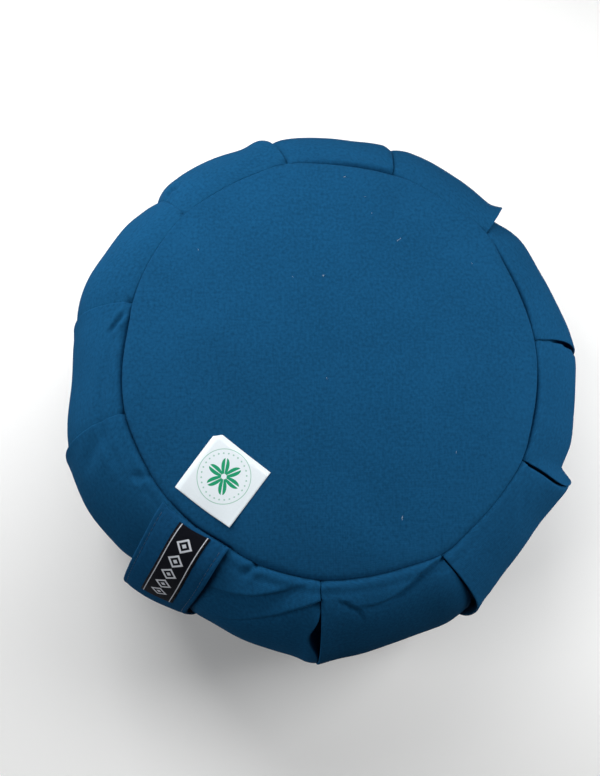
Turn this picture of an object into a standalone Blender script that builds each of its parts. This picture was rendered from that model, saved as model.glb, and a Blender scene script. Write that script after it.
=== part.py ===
"""A zafu: a round, firmly filled floor cushion of cotton canvas.

Two round panels are sewn to a side band. The band is longer than the seams, and its spare length
is taken up in eleven knife pleats that all lie the same way. A wide strap is caught in both seams
and stands off the band as a handle. A woven label is sewn on the strap, and a square paper label
is stuck on the top panel.

Units are metres and +Z is up. The origin is the centre of the face that the cushion rests on, and
the strap is on the -Y side. Angles are in degrees about +Z from +X, and the pleats' flaps point
towards smaller angles.
"""

from typing import NamedTuple

import bpy
import numpy as np

MM = 0.001

# Driving sizes of the filled form.
HEIGHT = 0.150
CROWN = 0.013  # the top panel's rise above its seam
SEAM_RADIUS = 0.1365  # both panels, seam to centre
WIDEST_RADIUS = 0.1785  # the band at its waist, before the flaps stand out
BOTTOM_SEAM_Z = 0.008
REST_RADIUS = 0.105  # the flat of the bottom panel
OVAL = 1.02  # stretch along OVAL_ANGLE, and as much drawn in across it
OVAL_ANGLE = 130.6
CORNER_SPREAD = 7.0  # degrees to each side over which a pleat pulls the seam out

# Cloth, and the room that pieces keep to each other.
CLOTH = 0.0015
GAP = 0.0004
RIM_GAP = 0.0007  # between a panel's edge and the band, in the seam

# Pleats. Their relief is largest at the waist, and shrinks to nothing at the seams.
WAIST_SHARES = (0.0, 0.06, 0.12, 0.25, 0.50, 0.75, 0.88, 1.0)  # of the way from one flap's edge to the next
FACE_SHARES = (0.06, 0.12, 0.25, 0.50, 0.75, 0.88, 0.95, 1.0)
SECTION_FADE = 0.7  # power of the bulge with which a section's relief shrinks
EAR_FADE = 1.3  # the same for the flare of its edge
EAR_WIDTH = 0.09  # how soon a flap's edge flares, as a share of the section
EAR_CURVE = 1.5
HOOK_FADE = 8
FLAP = 0.0016  # a flap is two layers of canvas
SLOT = 0.0006  # the slot's width behind a flap
FOLD_DEPTH = 0.0050  # how far the slot behind a flap's edge reaches in
SLOT_FROM_SEAM = 0.10  # share of the band's height over which the slot opens

# The five points of a fold: three under the flap, the slot's bottom and the next section's start.
# They lie this many fold depths behind the flap's edge, where the slot is open and where it is shut.
FOLD_OPEN = np.array((0.02, 0.55, 1.0, 1.0, 0.0))
FOLD_SHUT = np.array((-0.10, -0.20, -0.30, -0.45, -0.60))
FOLD_FALL = np.array((0.35, 0.65, 0.85, 1.0, 1.0))  # how far the shut ones have stepped down

# The strap, and the labels.
STRAP_WIDTH = 0.049
STRAP_THICK = 0.0024
STRAP_LIFT = 0.0020  # its middle stands this far off the form at the waist
STRAP_TWIST = 0.0050  # its -X edge stands higher than its middle by this much, its +X edge lower
STRAP_END = 0.015  # share of the half turn from seam to seam left free at each end
STRAP_REST = 0.0012  # what its ends keep clear of the form
STRAP_ANGLE = -90.0
HOLLOW = 0.0080  # how far the band is drawn in behind the strap, where fingers go
HOLLOW_SPREAD = 20.0  # degrees to each side of the strap's middle
WOVEN_WIDTH = 0.022
WOVEN_LENGTH = 0.074
WOVEN_START = 0.0016  # from the strap's top end
WOVEN_THICK = 0.0008
PAPER_SIDE = 0.042
PAPER_CLIP = 0.0042  # the cut corner
PAPER_THICK = 0.0004
PAPER_CENTRE = (-0.0044, -0.1051)
PAPER_TURN = 1.6  # degrees

# How finely the faceted solids follow the form.
PANEL_TURNS = 48
PANEL_RINGS = (0.045, 0.085, 0.110, 0.127, SEAM_RADIUS - RIM_GAP)
BAND_LEVELS = 13


class Pleat(NamedTuple):
    """One knife pleat: where its flap's edge runs, and the relief of the section that runs up to it."""

    angle: float  # at the seams
    lean: float  # degrees that the edge turns by, from the seams to the waist
    waist: tuple  # the section's heights over the form at the waist, in millimetres, at WAIST_SHARES
    ear: float  # how far the edge flares out there, or rounds in if negative, in millimetres
    corner: float  # how far it pulls the seams out, in millimetres
    hook: float = 0.0  # degrees that the edge turns by only close to the waist


PLEATS = (
    Pleat(174.9, -1.0, (-2.0, -0.3, 1.2, 2.9, 0.9, -0.8, -3.6, -5.6), -1.0, 1.2),
    Pleat(141.5, 4.0, (-4.6, -2.2, -0.6, 0.5, 1.1, 0.2, 0.8, 0.4), 0.6, 2.2),
    Pleat(110.7, 4.2, (-6.5, -3.6, -2.8, -1.1, 0.0, -0.1, 0.5, 0.6), -2.0, 1.0),
    Pleat(79.1, 4.8, (-3.0, -0.8, 0.4, 0.7, 0.2, -0.9, -2.4, -3.4), 4.6, 3.6),
    Pleat(45.8, 0.3, (-12.7, -12.2, -10.2, -5.4, -2.7, -1.4, -0.1, 0.7), 0.3, 0.0),
    Pleat(12.1, 1.3, (1.5, 0.8, 0.4, -0.7, -2.3, -2.2, -4.8, -6.5), 10.0, 1.2, 4.4),
    Pleat(-21.9, 5.2, (2.8, 1.4, -0.9, -4.2, -4.9, -3.6, -1.0, 0.2), 1.6, 2.8),
    Pleat(-54.3, 1.6, (-5.0, -5.0, -4.4, -4.6, -3.1, -0.8, 0.6, 3.6), 0.2, 0.8),
    Pleat(-89.4, 0.0, (3.6, 2.7, 0.4, -1.4, -3.3, -4.0, -3.5, -3.0), 0.0, 0.0),
    Pleat(-125.4, 1.5, (-3.0, -3.0, -3.0, -2.8, 1.0, 4.8, 5.5, 5.0), 1.0, 0.8),
    Pleat(-155.9, 4.2, (3.0, 2.5, 1.6, -0.2, -2.4, -2.4, -1.8, -1.6), 1.7, 1.0),
)


class Finish(NamedTuple):
    """A material's colour as linear RGB, and its roughness."""

    name: str
    colour: tuple
    roughness: float


BAND_CANVAS = Finish("band canvas", (0.013, 0.078, 0.175), 0.92)
PANEL_CANVAS = Finish("panel canvas", (0.014, 0.083, 0.185), 0.90)
STRAP_CANVAS = Finish("strap canvas", (0.012, 0.070, 0.160), 0.92)
WOVEN_TAPE = Finish("woven tape", (0.015, 0.015, 0.018), 0.75)
LABEL_PAPER = Finish("label paper", (0.80, 0.82, 0.82), 0.45)


def seam_z():
    """Height of the top seam."""
    return HEIGHT - CROWN


def waist_z():
    """Height of the band's widest level, midway between the seams."""
    return 0.5 * (seam_z() + BOTTOM_SEAM_Z)


def off_by(degrees, centre):
    """Degrees from centre, between -180 and 180."""
    return (np.asarray(degrees) - centre + 180.0) % 360.0 - 180.0


def settled(points):
    """Points of the round form as the cushion lies: slightly oval, its seams pulled out at the pleats."""
    radius = np.hypot(points[..., 0], points[..., 1])
    degrees = np.degrees(np.arctan2(points[..., 1], points[..., 0]))
    near = [np.exp(-((off_by(degrees, pleat.angle) / CORNER_SPREAD) ** 2)) for pleat in PLEATS]
    pull = MM * sum(pleat.corner * share for pleat, share in zip(PLEATS, near))
    grow = 1.0 + pull / SEAM_RADIUS * np.minimum(radius / SEAM_RADIUS, 1.0) ** 4
    flat = points[..., :2] * grow[..., None]
    turn = np.radians(OVAL_ANGLE)
    along = np.array((np.cos(turn), np.sin(turn)))
    across = np.array((-along[1], along[0]))
    long = (flat @ along)[..., None] * along * OVAL
    short = (flat @ across)[..., None] * across / OVAL
    return np.concatenate((long + short, points[..., 2:]), axis=-1)


def polar(degrees, radius, height):
    """Points from angles in degrees, radii and heights of one shape."""
    turn = np.radians(degrees)
    return np.stack(np.broadcast_arrays(radius * np.cos(turn), radius * np.sin(turn), height), axis=-1)


def crown_z(radius):
    """Outer face of the top panel: a dome that falls fastest near its seam."""
    share = np.clip(np.asarray(radius) / SEAM_RADIUS, 0.0, 1.0)
    return seam_z() + CROWN * (1.0 - share**2.6) ** 0.75


def sole_z(radius):
    """Outer face of the bottom panel: flat where it rests, then a quarter sine up to its seam."""
    share = np.clip((np.asarray(radius) - REST_RADIUS) / (SEAM_RADIUS - REST_RADIUS), 0.0, 1.0)
    return BOTTOM_SEAM_Z * (1.0 - np.cos(0.5 * np.pi * share))


def form(turn):
    """The band's plain form: half an ellipse from the top seam, turn 0, to the bottom seam, turn pi.

    Returns radius, height, and the outward direction as its parts along the radius and +Z.
    """
    reach = WIDEST_RADIUS - SEAM_RADIUS
    drop = 0.5 * (seam_z() - BOTTOM_SEAM_Z)
    radius = SEAM_RADIUS + reach * np.sin(turn)
    height = waist_z() + drop * np.cos(turn)
    out, up = drop * np.sin(turn), reach * np.cos(turn)
    size = np.hypot(out, up)
    return radius, height, out / size, up / size


def edge_angle(pleat, bulge):
    """Where a flap's edge runs at a level that bulges by this share of the waist's bulge."""
    return pleat.angle + pleat.lean * bulge + pleat.hook * bulge**HOOK_FADE


def face_relief(pleat, share, bulge):
    """Relief of the section that runs up to a pleat, at some shares of the way there."""
    waist = np.interp(share, WAIST_SHARES, pleat.waist)
    flare = pleat.ear * np.clip(1.0 - (1.0 - np.asarray(share)) / EAR_WIDTH, 0.0, None) ** EAR_CURVE
    return MM * (waist * bulge**SECTION_FADE + flare * bulge**EAR_FADE)


def fold(pleat, following, bulge, radius):
    """The fold behind a flap's edge at one level: its points' angles and relief.

    From the edge it runs back under the flap to the slot's bottom, and out again to where the
    next section starts. Close to a seam the slot is sewn shut, and the fold is only a step down.
    """
    depth = np.degrees(FOLD_DEPTH / radius)
    open_share = min(1.0, bulge / np.sin(np.pi * SLOT_FROM_SEAM))
    section = np.pi * 2.0 * WIDEST_RADIUS / len(PLEATS)
    edge, inner = face_relief(pleat, (1.0, 1.0 - FOLD_DEPTH / section), bulge)
    start = min(face_relief(following, 0.0, bulge), edge - open_share * (FLAP + SLOT))
    bottom = min(start, inner - FLAP - SLOT)
    opened = np.array((edge - FLAP, 0.5 * (edge + inner) - FLAP, inner - FLAP, bottom, start))
    shut = edge + (start - edge) * FOLD_FALL
    angles = edge_angle(pleat, bulge) + depth * (open_share * FOLD_OPEN + (1.0 - open_share) * FOLD_SHUT)
    return angles, open_share * opened + (1.0 - open_share) * shut


def section(before, pleat, following, turn):
    """One section's outline at one level: the angles and relief of its face and of the fold at its end."""
    bulge = np.sin(turn)
    start, end = edge_angle(before, bulge), edge_angle(pleat, bulge)
    share = np.array(FACE_SHARES)
    face_angles = start + off_by(end, start) * share
    fold_angles, fold_relief = fold(pleat, following, bulge, form(turn)[0])
    return (
        np.concatenate((face_angles, fold_angles)),
        np.concatenate((face_relief(pleat, share, bulge), fold_relief)),
    )


def band_level(turn):
    """Points of the band's outline at one level, with the hollow behind the strap."""
    radius, height, out, up = form(turn)
    following = PLEATS[1:] + PLEATS[:1]
    parts = [section(*pleats, turn) for pleats in zip(PLEATS[-1:] + PLEATS[:-1], PLEATS, following)]
    angles = np.concatenate([angle for angle, _ in parts])
    relief = np.concatenate([rise for _, rise in parts])
    behind = np.clip(1.0 - np.abs(off_by(angles, STRAP_ANGLE)) / HOLLOW_SPREAD, 0.0, 1.0)
    relief = relief - HOLLOW * np.sin(0.5 * np.pi * behind) ** 2 * np.sin(turn) ** 2
    return polar(angles, radius + relief * out, height + relief * up)


def ring_faces(rows, columns):
    """Quads between closed rings of points, from the top ring down, each clockwise seen from above."""
    row, column = np.meshgrid(np.arange(rows - 1), np.arange(columns), indexing="ij")
    after = (column + 1) % columns
    here, below = row * columns, (row + 1) * columns
    quads = (here + column, here + after, below + after, below + column)
    return np.stack(quads, axis=-1).reshape(-1, 4).tolist()


def fan_faces(pole, first, columns, faces_up):
    """Triangles from a pole to the ring that starts at point first, facing up or down."""
    ring = [(pole, first + i, first + (i + 1) % columns) for i in range(columns)]
    return [face[::-1] for face in ring] if faces_up else ring


def add_piece(name, points, faces, finish):
    """A named object from points and faces, shaded smooth except at sharp edges."""
    mesh = bpy.data.meshes.new(name)
    mesh.from_pydata(settled(np.asarray(points, dtype=float)).tolist(), [], faces)
    mesh.update()
    mesh.shade_smooth()
    mesh.set_sharp_from_angle(angle=np.radians(40.0))
    material = bpy.data.materials.new(finish.name)
    material.use_nodes = True
    shader = material.node_tree.nodes["Principled BSDF"]
    shader.inputs["Base Color"].default_value = (*finish.colour, 1.0)
    shader.inputs["Roughness"].default_value = finish.roughness
    mesh.materials.append(material)
    piece = bpy.data.objects.new(name, mesh)
    bpy.context.scene.collection.objects.link(piece)
    return piece


def revolved(name, rings, top, bottom, finish):
    """A closed solid from rings, listed from its top pole to its bottom pole."""
    columns = len(rings[0])
    points = np.concatenate([*rings, [top, bottom]])
    last = (len(rings) - 1) * columns
    faces = ring_faces(len(rings), columns)
    faces += fan_faces(len(points) - 2, 0, columns, True)
    faces += fan_faces(len(points) - 1, last, columns, False)
    return add_piece(name, points, faces, finish)


def slab(name, outer, inner, finish):
    """A closed solid between two grids of points of one shape, its outer face first."""
    rows, columns = outer.shape[:2]
    points = np.concatenate((outer.reshape(-1, 3), inner.reshape(-1, 3)))
    index = np.arange(rows * columns).reshape(rows, columns)
    face = np.stack((index[:-1, :-1], index[1:, :-1], index[1:, 1:], index[:-1, 1:]), axis=-1).reshape(-1, 4)
    edge = np.concatenate((index[0, :-1], index[:-1, -1], index[-1, :0:-1], index[:0:-1, 0]))
    after = np.roll(edge, -1)
    wall = np.stack((edge, after, after + rows * columns, edge + rows * columns), axis=-1)
    faces = np.concatenate((face, face[:, ::-1] + rows * columns, wall))
    return add_piece(name, points, faces.tolist(), finish)


def build_side_band():
    """The filled form: the pleated band, closed above and below under the two panels."""
    turns = np.linspace(0.0, np.pi, BAND_LEVELS)
    levels = [band_level(turn) for turn in turns]
    angle = np.degrees(np.arctan2(levels[0][:, 1], levels[0][:, 0]))
    under = PANEL_RINGS[:-1]
    groove = SEAM_RADIUS - RIM_GAP
    above = [polar(angle, radius, crown_z(radius) - CLOTH - GAP) for radius in under[::2]]
    above.append(polar(angle, groove, seam_z() - CLOTH - RIM_GAP))
    above.append(polar(angle, SEAM_RADIUS, seam_z() - CLOTH - RIM_GAP))
    below = [polar(angle, radius, sole_z(radius) + CLOTH + GAP) for radius in under[::2]]
    below.append(polar(angle, groove, BOTTOM_SEAM_Z + CLOTH + RIM_GAP))
    below.append(polar(angle, SEAM_RADIUS, BOTTOM_SEAM_Z + CLOTH + RIM_GAP))
    top = (0.0, 0.0, crown_z(0.0) - CLOTH - GAP)
    bottom = (0.0, 0.0, sole_z(0.0) + CLOTH + GAP)
    return revolved("side_band", above + levels + below[::-1], top, bottom, BAND_CANVAS)


def build_panel(name, outer_z, inward):
    """A round panel: a crowned sheet whose outer face has the height outer_z of its radius."""
    turn = np.linspace(360.0, 0.0, PANEL_TURNS, endpoint=False)
    outer = [polar(turn, radius, outer_z(radius)) for radius in PANEL_RINGS]
    inner = [polar(turn, radius, outer_z(radius) + inward) for radius in PANEL_RINGS]
    upper, lower = (outer, inner) if inward < 0.0 else (inner, outer)
    top = (0.0, 0.0, max(outer_z(0.0), outer_z(0.0) + inward))
    bottom = (0.0, 0.0, min(outer_z(0.0), outer_z(0.0) + inward))
    return revolved(name, upper + lower[::-1], top, bottom, PANEL_CANVAS)


def strap_points(along, across, rise):
    """Points over the strap, rise above its inner face.

    They lie at along, its run in turns of the form, and across, from its middle in metres.
    The strap leaves each seam close to the band and stands off it at the waist, flat across and
    slightly twisted.
    """
    radius, height, out, up = form(along)
    lift = STRAP_REST + (STRAP_LIFT - STRAP_REST) * np.sin(along) ** 1.5
    twist = -STRAP_TWIST * (across / (0.5 * STRAP_WIDTH)) * np.sin(along) ** 2
    stand = lift + twist + rise
    reach = radius + stand * out
    curved = np.sqrt(reach**2 - across**2)
    y = curved + (reach - curved) * np.sin(along) ** 2
    return np.stack(np.broadcast_arrays(across, -y, height + stand * up), axis=-1)


def strap_grid(from_length, to_length, width, rows, columns, rise):
    """A grid of points over the strap between two lengths from its top end."""
    fine = np.linspace(STRAP_END * np.pi, (1.0 - STRAP_END) * np.pi, 400)
    path = strap_points(fine, 0.0, 0.0)
    length = np.concatenate(((0.0,), np.cumsum(np.linalg.norm(np.diff(path, axis=0), axis=1))))
    to_length = length[-1] if to_length is None else to_length
    along = np.interp(np.linspace(from_length, to_length, rows), length, fine)[:, None]
    across = np.linspace(-0.5 * width, 0.5 * width, columns)[None, :]
    return strap_points(along, across, rise)


def build_strap():
    """The carry strap, from seam to seam."""
    outer = strap_grid(0.0, None, STRAP_WIDTH, 17, 5, STRAP_THICK)
    inner = strap_grid(0.0, None, STRAP_WIDTH, 17, 5, 0.0)
    return slab("handle_strap", outer, inner, STRAP_CANVAS)


def build_woven_label():
    """The woven label, sewn flat on the strap."""
    end = WOVEN_START + WOVEN_LENGTH
    base = STRAP_THICK + GAP
    outer = strap_grid(WOVEN_START, end, WOVEN_WIDTH, 9, 3, base + WOVEN_THICK)
    inner = strap_grid(WOVEN_START, end, WOVEN_WIDTH, 9, 3, base)
    return slab("woven_label", outer, inner, WOVEN_TAPE)


def build_paper_label():
    """The square paper label on the top panel, slightly turned, one corner cut off."""
    line = np.concatenate(((0.0,), np.linspace(PAPER_CLIP, PAPER_SIDE, 6))) - 0.5 * PAPER_SIDE
    right, up = np.meshgrid(line, -line)
    right[0, 0] += 0.5 * PAPER_CLIP
    up[0, 0] -= 0.5 * PAPER_CLIP
    turn = np.radians(PAPER_TURN)
    x = PAPER_CENTRE[0] + right * np.cos(turn) - up * np.sin(turn)
    y = PAPER_CENTRE[1] + right * np.sin(turn) + up * np.cos(turn)
    face = crown_z(np.hypot(x, y)) + GAP
    outer = np.stack((x, y, face + PAPER_THICK), axis=-1)
    inner = np.stack((x, y, face), axis=-1)
    return slab("paper_label", outer, inner, LABEL_PAPER)


def main():
    """Clears the scene and builds every piece."""
    for old in list(bpy.data.objects):
        bpy.data.objects.remove(old)
    build_side_band()
    build_panel("top_panel", crown_z, -CLOTH)
    build_panel("bottom_panel", sole_z, CLOTH)
    build_strap()
    build_woven_label()
    build_paper_label()


main()
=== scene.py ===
"""Looks of a zafu: a round, firmly filled meditation cushion of cotton canvas.

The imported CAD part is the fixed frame, and every piece here is a finer surface that stands for one
of its solids: the pleated band, the two round panels, the carry strap, its woven label and the
square paper label. Stitches and lint lie on them. All shapes are worked out as numpy arrays from
the same form as the solids: half an ellipse from seam to seam, turned about +Z, with a relief of
knife pleats, creases, puckers and lumps laid on it.

Units are metres and +Z is up. Angles are in degrees about +Z from +X, the strap is on the -Y
side, and the pleats' flaps point towards smaller angles.
"""

import logging
import math
from collections.abc import Callable, Mapping, Sequence
from dataclasses import dataclass, field
from enum import Enum

import bpy
import numpy as np
from bpy.types import Material, Node, NodeSocket, Object
from mathutils import Matrix, Vector


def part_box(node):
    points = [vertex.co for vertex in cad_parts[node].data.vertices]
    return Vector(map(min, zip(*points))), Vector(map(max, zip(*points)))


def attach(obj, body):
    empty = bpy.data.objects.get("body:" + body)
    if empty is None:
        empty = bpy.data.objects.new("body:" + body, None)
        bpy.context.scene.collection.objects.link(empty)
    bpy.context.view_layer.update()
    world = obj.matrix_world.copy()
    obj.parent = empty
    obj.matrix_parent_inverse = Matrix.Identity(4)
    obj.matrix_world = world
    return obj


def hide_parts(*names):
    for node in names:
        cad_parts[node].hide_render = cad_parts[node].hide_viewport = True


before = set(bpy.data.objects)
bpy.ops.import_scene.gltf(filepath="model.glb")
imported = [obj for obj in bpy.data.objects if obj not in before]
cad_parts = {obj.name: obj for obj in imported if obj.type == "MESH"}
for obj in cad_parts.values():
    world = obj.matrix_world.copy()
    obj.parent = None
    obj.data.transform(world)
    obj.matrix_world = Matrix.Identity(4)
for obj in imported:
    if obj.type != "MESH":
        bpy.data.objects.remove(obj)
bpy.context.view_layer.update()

LOG = logging.getLogger("zafu")
CLOTH_UV = "cloth"
# Length of the quad in which a ring's cloth map is cut open.
CLOTH_WRAP = 0.0005
WEAR = "wear"
Array = np.ndarray


# ---------------- numbers and meshes


def off_by(degrees: Array, centre: float) -> Array:
    """Degrees from centre, between -180 and 180."""
    return (np.asarray(degrees) - centre + 180.0) % 360.0 - 180.0


def polar(degrees: Array, radius: Array, height: Array) -> Array:
    """Points from angles in degrees, radii and heights, broadcast together."""
    turn = np.radians(degrees)
    return np.stack(np.broadcast_arrays(radius * np.cos(turn), radius * np.sin(turn), height), axis=-1)


def ease(share: Array) -> Array:
    """A smooth step: 3 s^2 - 2 s^3 of the share held between 0 and 1."""
    held = np.clip(share, 0.0, 1.0)
    return held * held * (3.0 - 2.0 * held)


def bell(distance: Array, width: float) -> Array:
    """The bell exp(-(d / w)^2)."""
    return np.exp(-((distance / width) ** 2))


def through(places: Array, knots: Array, heights: Array) -> Array:
    """A smooth curve through heights at knots: cubics whose slopes at the knots are central differences.

    Args:
        places: Where the curve is wanted.
        knots: Rising places of the knots.
        heights: The curve's values there.

    Returns:
        The curve at places.
    """
    slopes = np.gradient(heights, knots)
    k = np.clip(np.searchsorted(knots, places, side="right") - 1, 0, len(knots) - 2)
    step = knots[k + 1] - knots[k]
    t = (places - knots[k]) / step
    rise = heights[k] + (heights[k + 1] - heights[k]) * t * t * (3.0 - 2.0 * t)
    return rise + step * t * (1.0 - t) * ((1.0 - t) * slopes[k] - t * slopes[k + 1])


def graded(total: float, spacing: Callable[[Array], Array]) -> Array:
    """Places from 0 to total that lie spacing(place) apart.

    The count of places up to p is the integral of 1 / spacing from 0 to p, and the places are
    where that count passes a whole number.

    Args:
        total: The last place.
        spacing: The distance to the next place, as a function of place.

    Returns:
        The places, rising from 0 to total.
    """
    samples = 4001
    fine = np.linspace(0.0, total, samples)
    middle = 0.5 * (fine[1:] + fine[:-1])
    count = np.concatenate(((0.0,), np.cumsum(np.diff(fine) / spacing(middle))))
    return np.interp(np.linspace(0.0, count[-1], round(count[-1]) + 1), count, fine)


def run_length(x: Array, y: Array) -> Array:
    """Length of a flat path from its start to each of its points, which lie along the last axis."""
    steps = np.hypot(np.diff(x), np.diff(y))
    return np.concatenate((np.zeros((*steps.shape[:-1], 1)), np.cumsum(steps, axis=-1)), axis=-1)


def quad_places(across: Array, wrap: float, down: Array) -> Array:
    """Where the corners of a stack of closed rings' quads lie on cloth that is cut open and laid flat.

    Args:
        across: Length round each ring from the cut, (rows, columns).
        wrap: Length of the quad that closes each ring.
        down: Length down to each row, of the same shape.

    Returns:
        Places of shape (rows - 1, columns, 4, 2), in ring_quads() order.
    """
    after = np.concatenate((across[:, 1:], across[:, -1:] + wrap), axis=1)
    here, there = np.stack((across, down), axis=-1), np.stack((after, down), axis=-1)
    return np.stack((here[:-1], there[:-1], there[1:], here[1:]), axis=2)


def ring_quads(rows: int, columns: int) -> Array:
    """Quads between closed rings, from the top ring down, each ring clockwise seen from above.

    Args:
        rows: Number of rings.
        columns: Points in each ring.

    Returns:
        Vertex numbers, of shape (rows - 1, columns, 4).
    """
    row, column = np.meshgrid(np.arange(rows - 1), np.arange(columns), indexing="ij")
    after = (column + 1) % columns
    here, below = row * columns, (row + 1) * columns
    return np.stack((here + column, here + after, below + after, below + column), axis=-1)


def fan(pole: int, first: int, columns: int, faces_up: bool) -> Array:
    """Triangles from a pole to a clockwise ring that starts at vertex first.

    Args:
        pole: Vertex number of the pole.
        first: Vertex number of the ring's first point.
        columns: Points in the ring.
        faces_up: Whether the triangles face the side from which the ring is clockwise.

    Returns:
        Vertex numbers, of shape (columns, 3).
    """
    here = first + np.arange(columns)
    after = first + (np.arange(columns) + 1) % columns
    order = (after, here) if faces_up else (here, after)
    return np.stack((np.full(columns, pole), *order), axis=-1)


def closed_rings(rows: Array, poles: Sequence[Array]) -> tuple[Array, list[Array]]:
    """A stack of closed rings with a pole at each end.

    Args:
        rows: The rings' points, (rows, columns, 3), in ring_quads() order.
        poles: The point that closes the first ring, and the one that closes the last.

    Returns:
        All points, the poles last, and the faces: the quads, then the two fans.
    """
    count, columns = rows.shape[:2]
    points = np.concatenate((rows.reshape(-1, 3), poles))
    start = fan(len(points) - 2, 0, columns, True)
    end = fan(len(points) - 1, (count - 1) * columns, columns, False)
    return points, [ring_quads(count, columns), start, end]


@dataclass
class Surface:
    """A mesh in the making.

    Attributes:
        points: Vertices, of shape (n, 3).
        faces: Arrays of vertex numbers, each with a face's corners last.
        cloth: For each of those arrays its corners' places on the flat cloth, with x and y last.
        wear: For each vertex 0 to 1, how much the cloth is rubbed there, or None.
    """

    points: Array
    faces: list[Array]
    cloth: list[Array]
    wear: Array | None = None

    def piece(self, name: str, material: Material) -> Object:
        """The surface as an object at the origin, shaded smooth, with its cloth map and wear.

        Args:
            name: The piece's name.
            material: Its finish.

        Returns:
            The new object.
        """
        mesh = bpy.data.meshes.new(name)
        faces = [face for part in self.faces for face in part.reshape(-1, part.shape[-1]).tolist()]
        mesh.from_pydata(self.points.tolist(), [], faces)
        places = mesh.uv_layers.new(name=CLOTH_UV)
        flat = np.concatenate([part.reshape(-1, 2) for part in self.cloth])
        places.data.foreach_set("uv", flat.astype(np.float32).ravel())
        if self.wear is not None:
            rubbed = mesh.attributes.new(WEAR, "FLOAT", "POINT")
            rubbed.data.foreach_set("value", self.wear.astype(np.float32).ravel())
        mesh.materials.append(material)
        mesh.update()
        mesh.shade_smooth()
        made = bpy.data.objects.new(name, mesh)
        bpy.context.scene.collection.objects.link(made)
        return made


def flat_places(points: Array, faces: Array) -> Array:
    """The corners' x and y as their places on the cloth."""
    return points[faces][..., :2]


def slab(outer: Array, inner: Array, places: Array) -> Surface:
    """A thin closed solid between two grids, with a wall round their edges.

    Args:
        outer: The outer face's points, (rows, columns, 3). Rows run down and columns to the
            right, seen from outside.
        inner: The inner face's points, of the same shape.
        places: The grid's places on the flat cloth, (rows, columns, 2).

    Returns:
        The closed surface.
    """
    rows, columns = outer.shape[:2]
    count = rows * columns
    index = np.arange(count).reshape(rows, columns)
    face = np.stack((index[:-1, :-1], index[1:, :-1], index[1:, 1:], index[:-1, 1:]), axis=-1)
    edge = np.concatenate((index[0, :-1], index[:-1, -1], index[-1, :0:-1], index[:0:-1, 0]))
    after = np.roll(edge, -1)
    wall = np.stack((edge, after, after + count, edge + count), axis=-1)
    flat = places.reshape(-1, 2)
    both = np.concatenate((flat, flat))
    faces = [face, face[..., ::-1] + count, wall]
    points = np.concatenate((outer.reshape(-1, 3), inner.reshape(-1, 3)))
    return Surface(points, faces, [both[part] for part in faces])


def tubes(paths: Array, radius: Array, sides: int) -> Surface:
    """Many short threads as one surface: a circle carried along each path, closed at both ends.

    Each ring stands square to the path, and its first point lies towards the path's own side
    direction, which is the tangent crossed with +Z (or with +X where the path is upright).

    Args:
        paths: Points of the paths, (threads, steps, 3).
        radius: Radius at each step, (steps,) or (threads, steps).
        sides: Points in each ring.

    Returns:
        The joined surface.
    """
    threads, steps = paths.shape[:2]
    tangent = np.gradient(paths, axis=1)
    tangent /= np.linalg.norm(tangent, axis=-1, keepdims=True)
    steep = 0.9
    upright = np.abs(tangent[..., 2:]) > steep
    reference = np.where(upright, (1.0, 0.0, 0.0), (0.0, 0.0, 1.0))
    side = np.cross(tangent, reference)
    side /= np.linalg.norm(side, axis=-1, keepdims=True)
    lift = np.cross(side, tangent)
    turn = np.linspace(0.0, 2.0 * np.pi, sides, endpoint=False)
    reach = np.broadcast_to(radius, (threads, steps))[..., None, None]
    circle = np.cos(turn)[:, None] * side[..., None, :] + np.sin(turn)[:, None] * lift[..., None, :]
    rings = paths[:, :, None] + reach * circle
    points = np.concatenate((rings.reshape(threads, -1, 3), paths[:, :1], paths[:, -1:]), axis=1)
    ring = steps * sides
    one = ring_quads(steps, sides).reshape(-1, 4)[:, ::-1]
    ends = np.concatenate((fan(ring, 0, sides, False), fan(ring + 1, (steps - 1) * sides, sides, True)))
    start = np.arange(threads)[:, None, None] * (ring + 2)
    faces = [one[None] + start, ends[None] + start]
    flat = points.reshape(-1, 3)
    return Surface(flat, faces, [flat_places(flat, part) for part in faces])


# ---------------- the cushion's form


MM = 0.001
WAIST_SHARES = (0.0, 0.06, 0.12, 0.25, 0.50, 0.75, 0.88, 1.0)


@dataclass(frozen=True)
class Pleat:
    """One knife pleat of the band, and the section that runs up to it, with lengths in millimetres.

    Attributes:
        angle: Where its flap's edge meets the seams.
        lean: Degrees that the edge turns by, from the seams to the waist.
        waist: Heights of the section over the form at the waist, at WAIST_SHARES of the way from
            the pleat before.
        hook: Degrees that it turns by besides, only close to the waist.
        ear: How far the flap's edge flares out at the waist, or rounds in if negative.
        ear_width: Over what share of the section it does.
        ear_curve: Power of that flare: 1 is straight, and more is hollower.
        fold: How far the flap's very edge rounds in again.
        gap: How much wider the slit along the flap's edge is where it is widest.
        widest: Where that is, as a share of the half turn.
        spread: Over what share of the half turn it narrows again.
        least: Width of the slit elsewhere.
        corner: How far the pleat pulls the seams out.
        fade: Power of the turn's sine with which the section's heights shrink towards the seams.
        spacing: Share of the section between points in its middle, smaller where it is creased.
    """

    angle: float
    lean: float
    waist: tuple[float, ...]
    hook: float = 0.0
    ear: float = 0.0
    ear_width: float = 0.09
    ear_curve: float = 1.5
    fold: float = 0.0
    gap: float = 0.6
    widest: float = 0.5
    spread: float = 0.3
    least: float = 0.2
    corner: float = 0.0
    fade: float = 0.7
    spacing: float = 0.027


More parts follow.
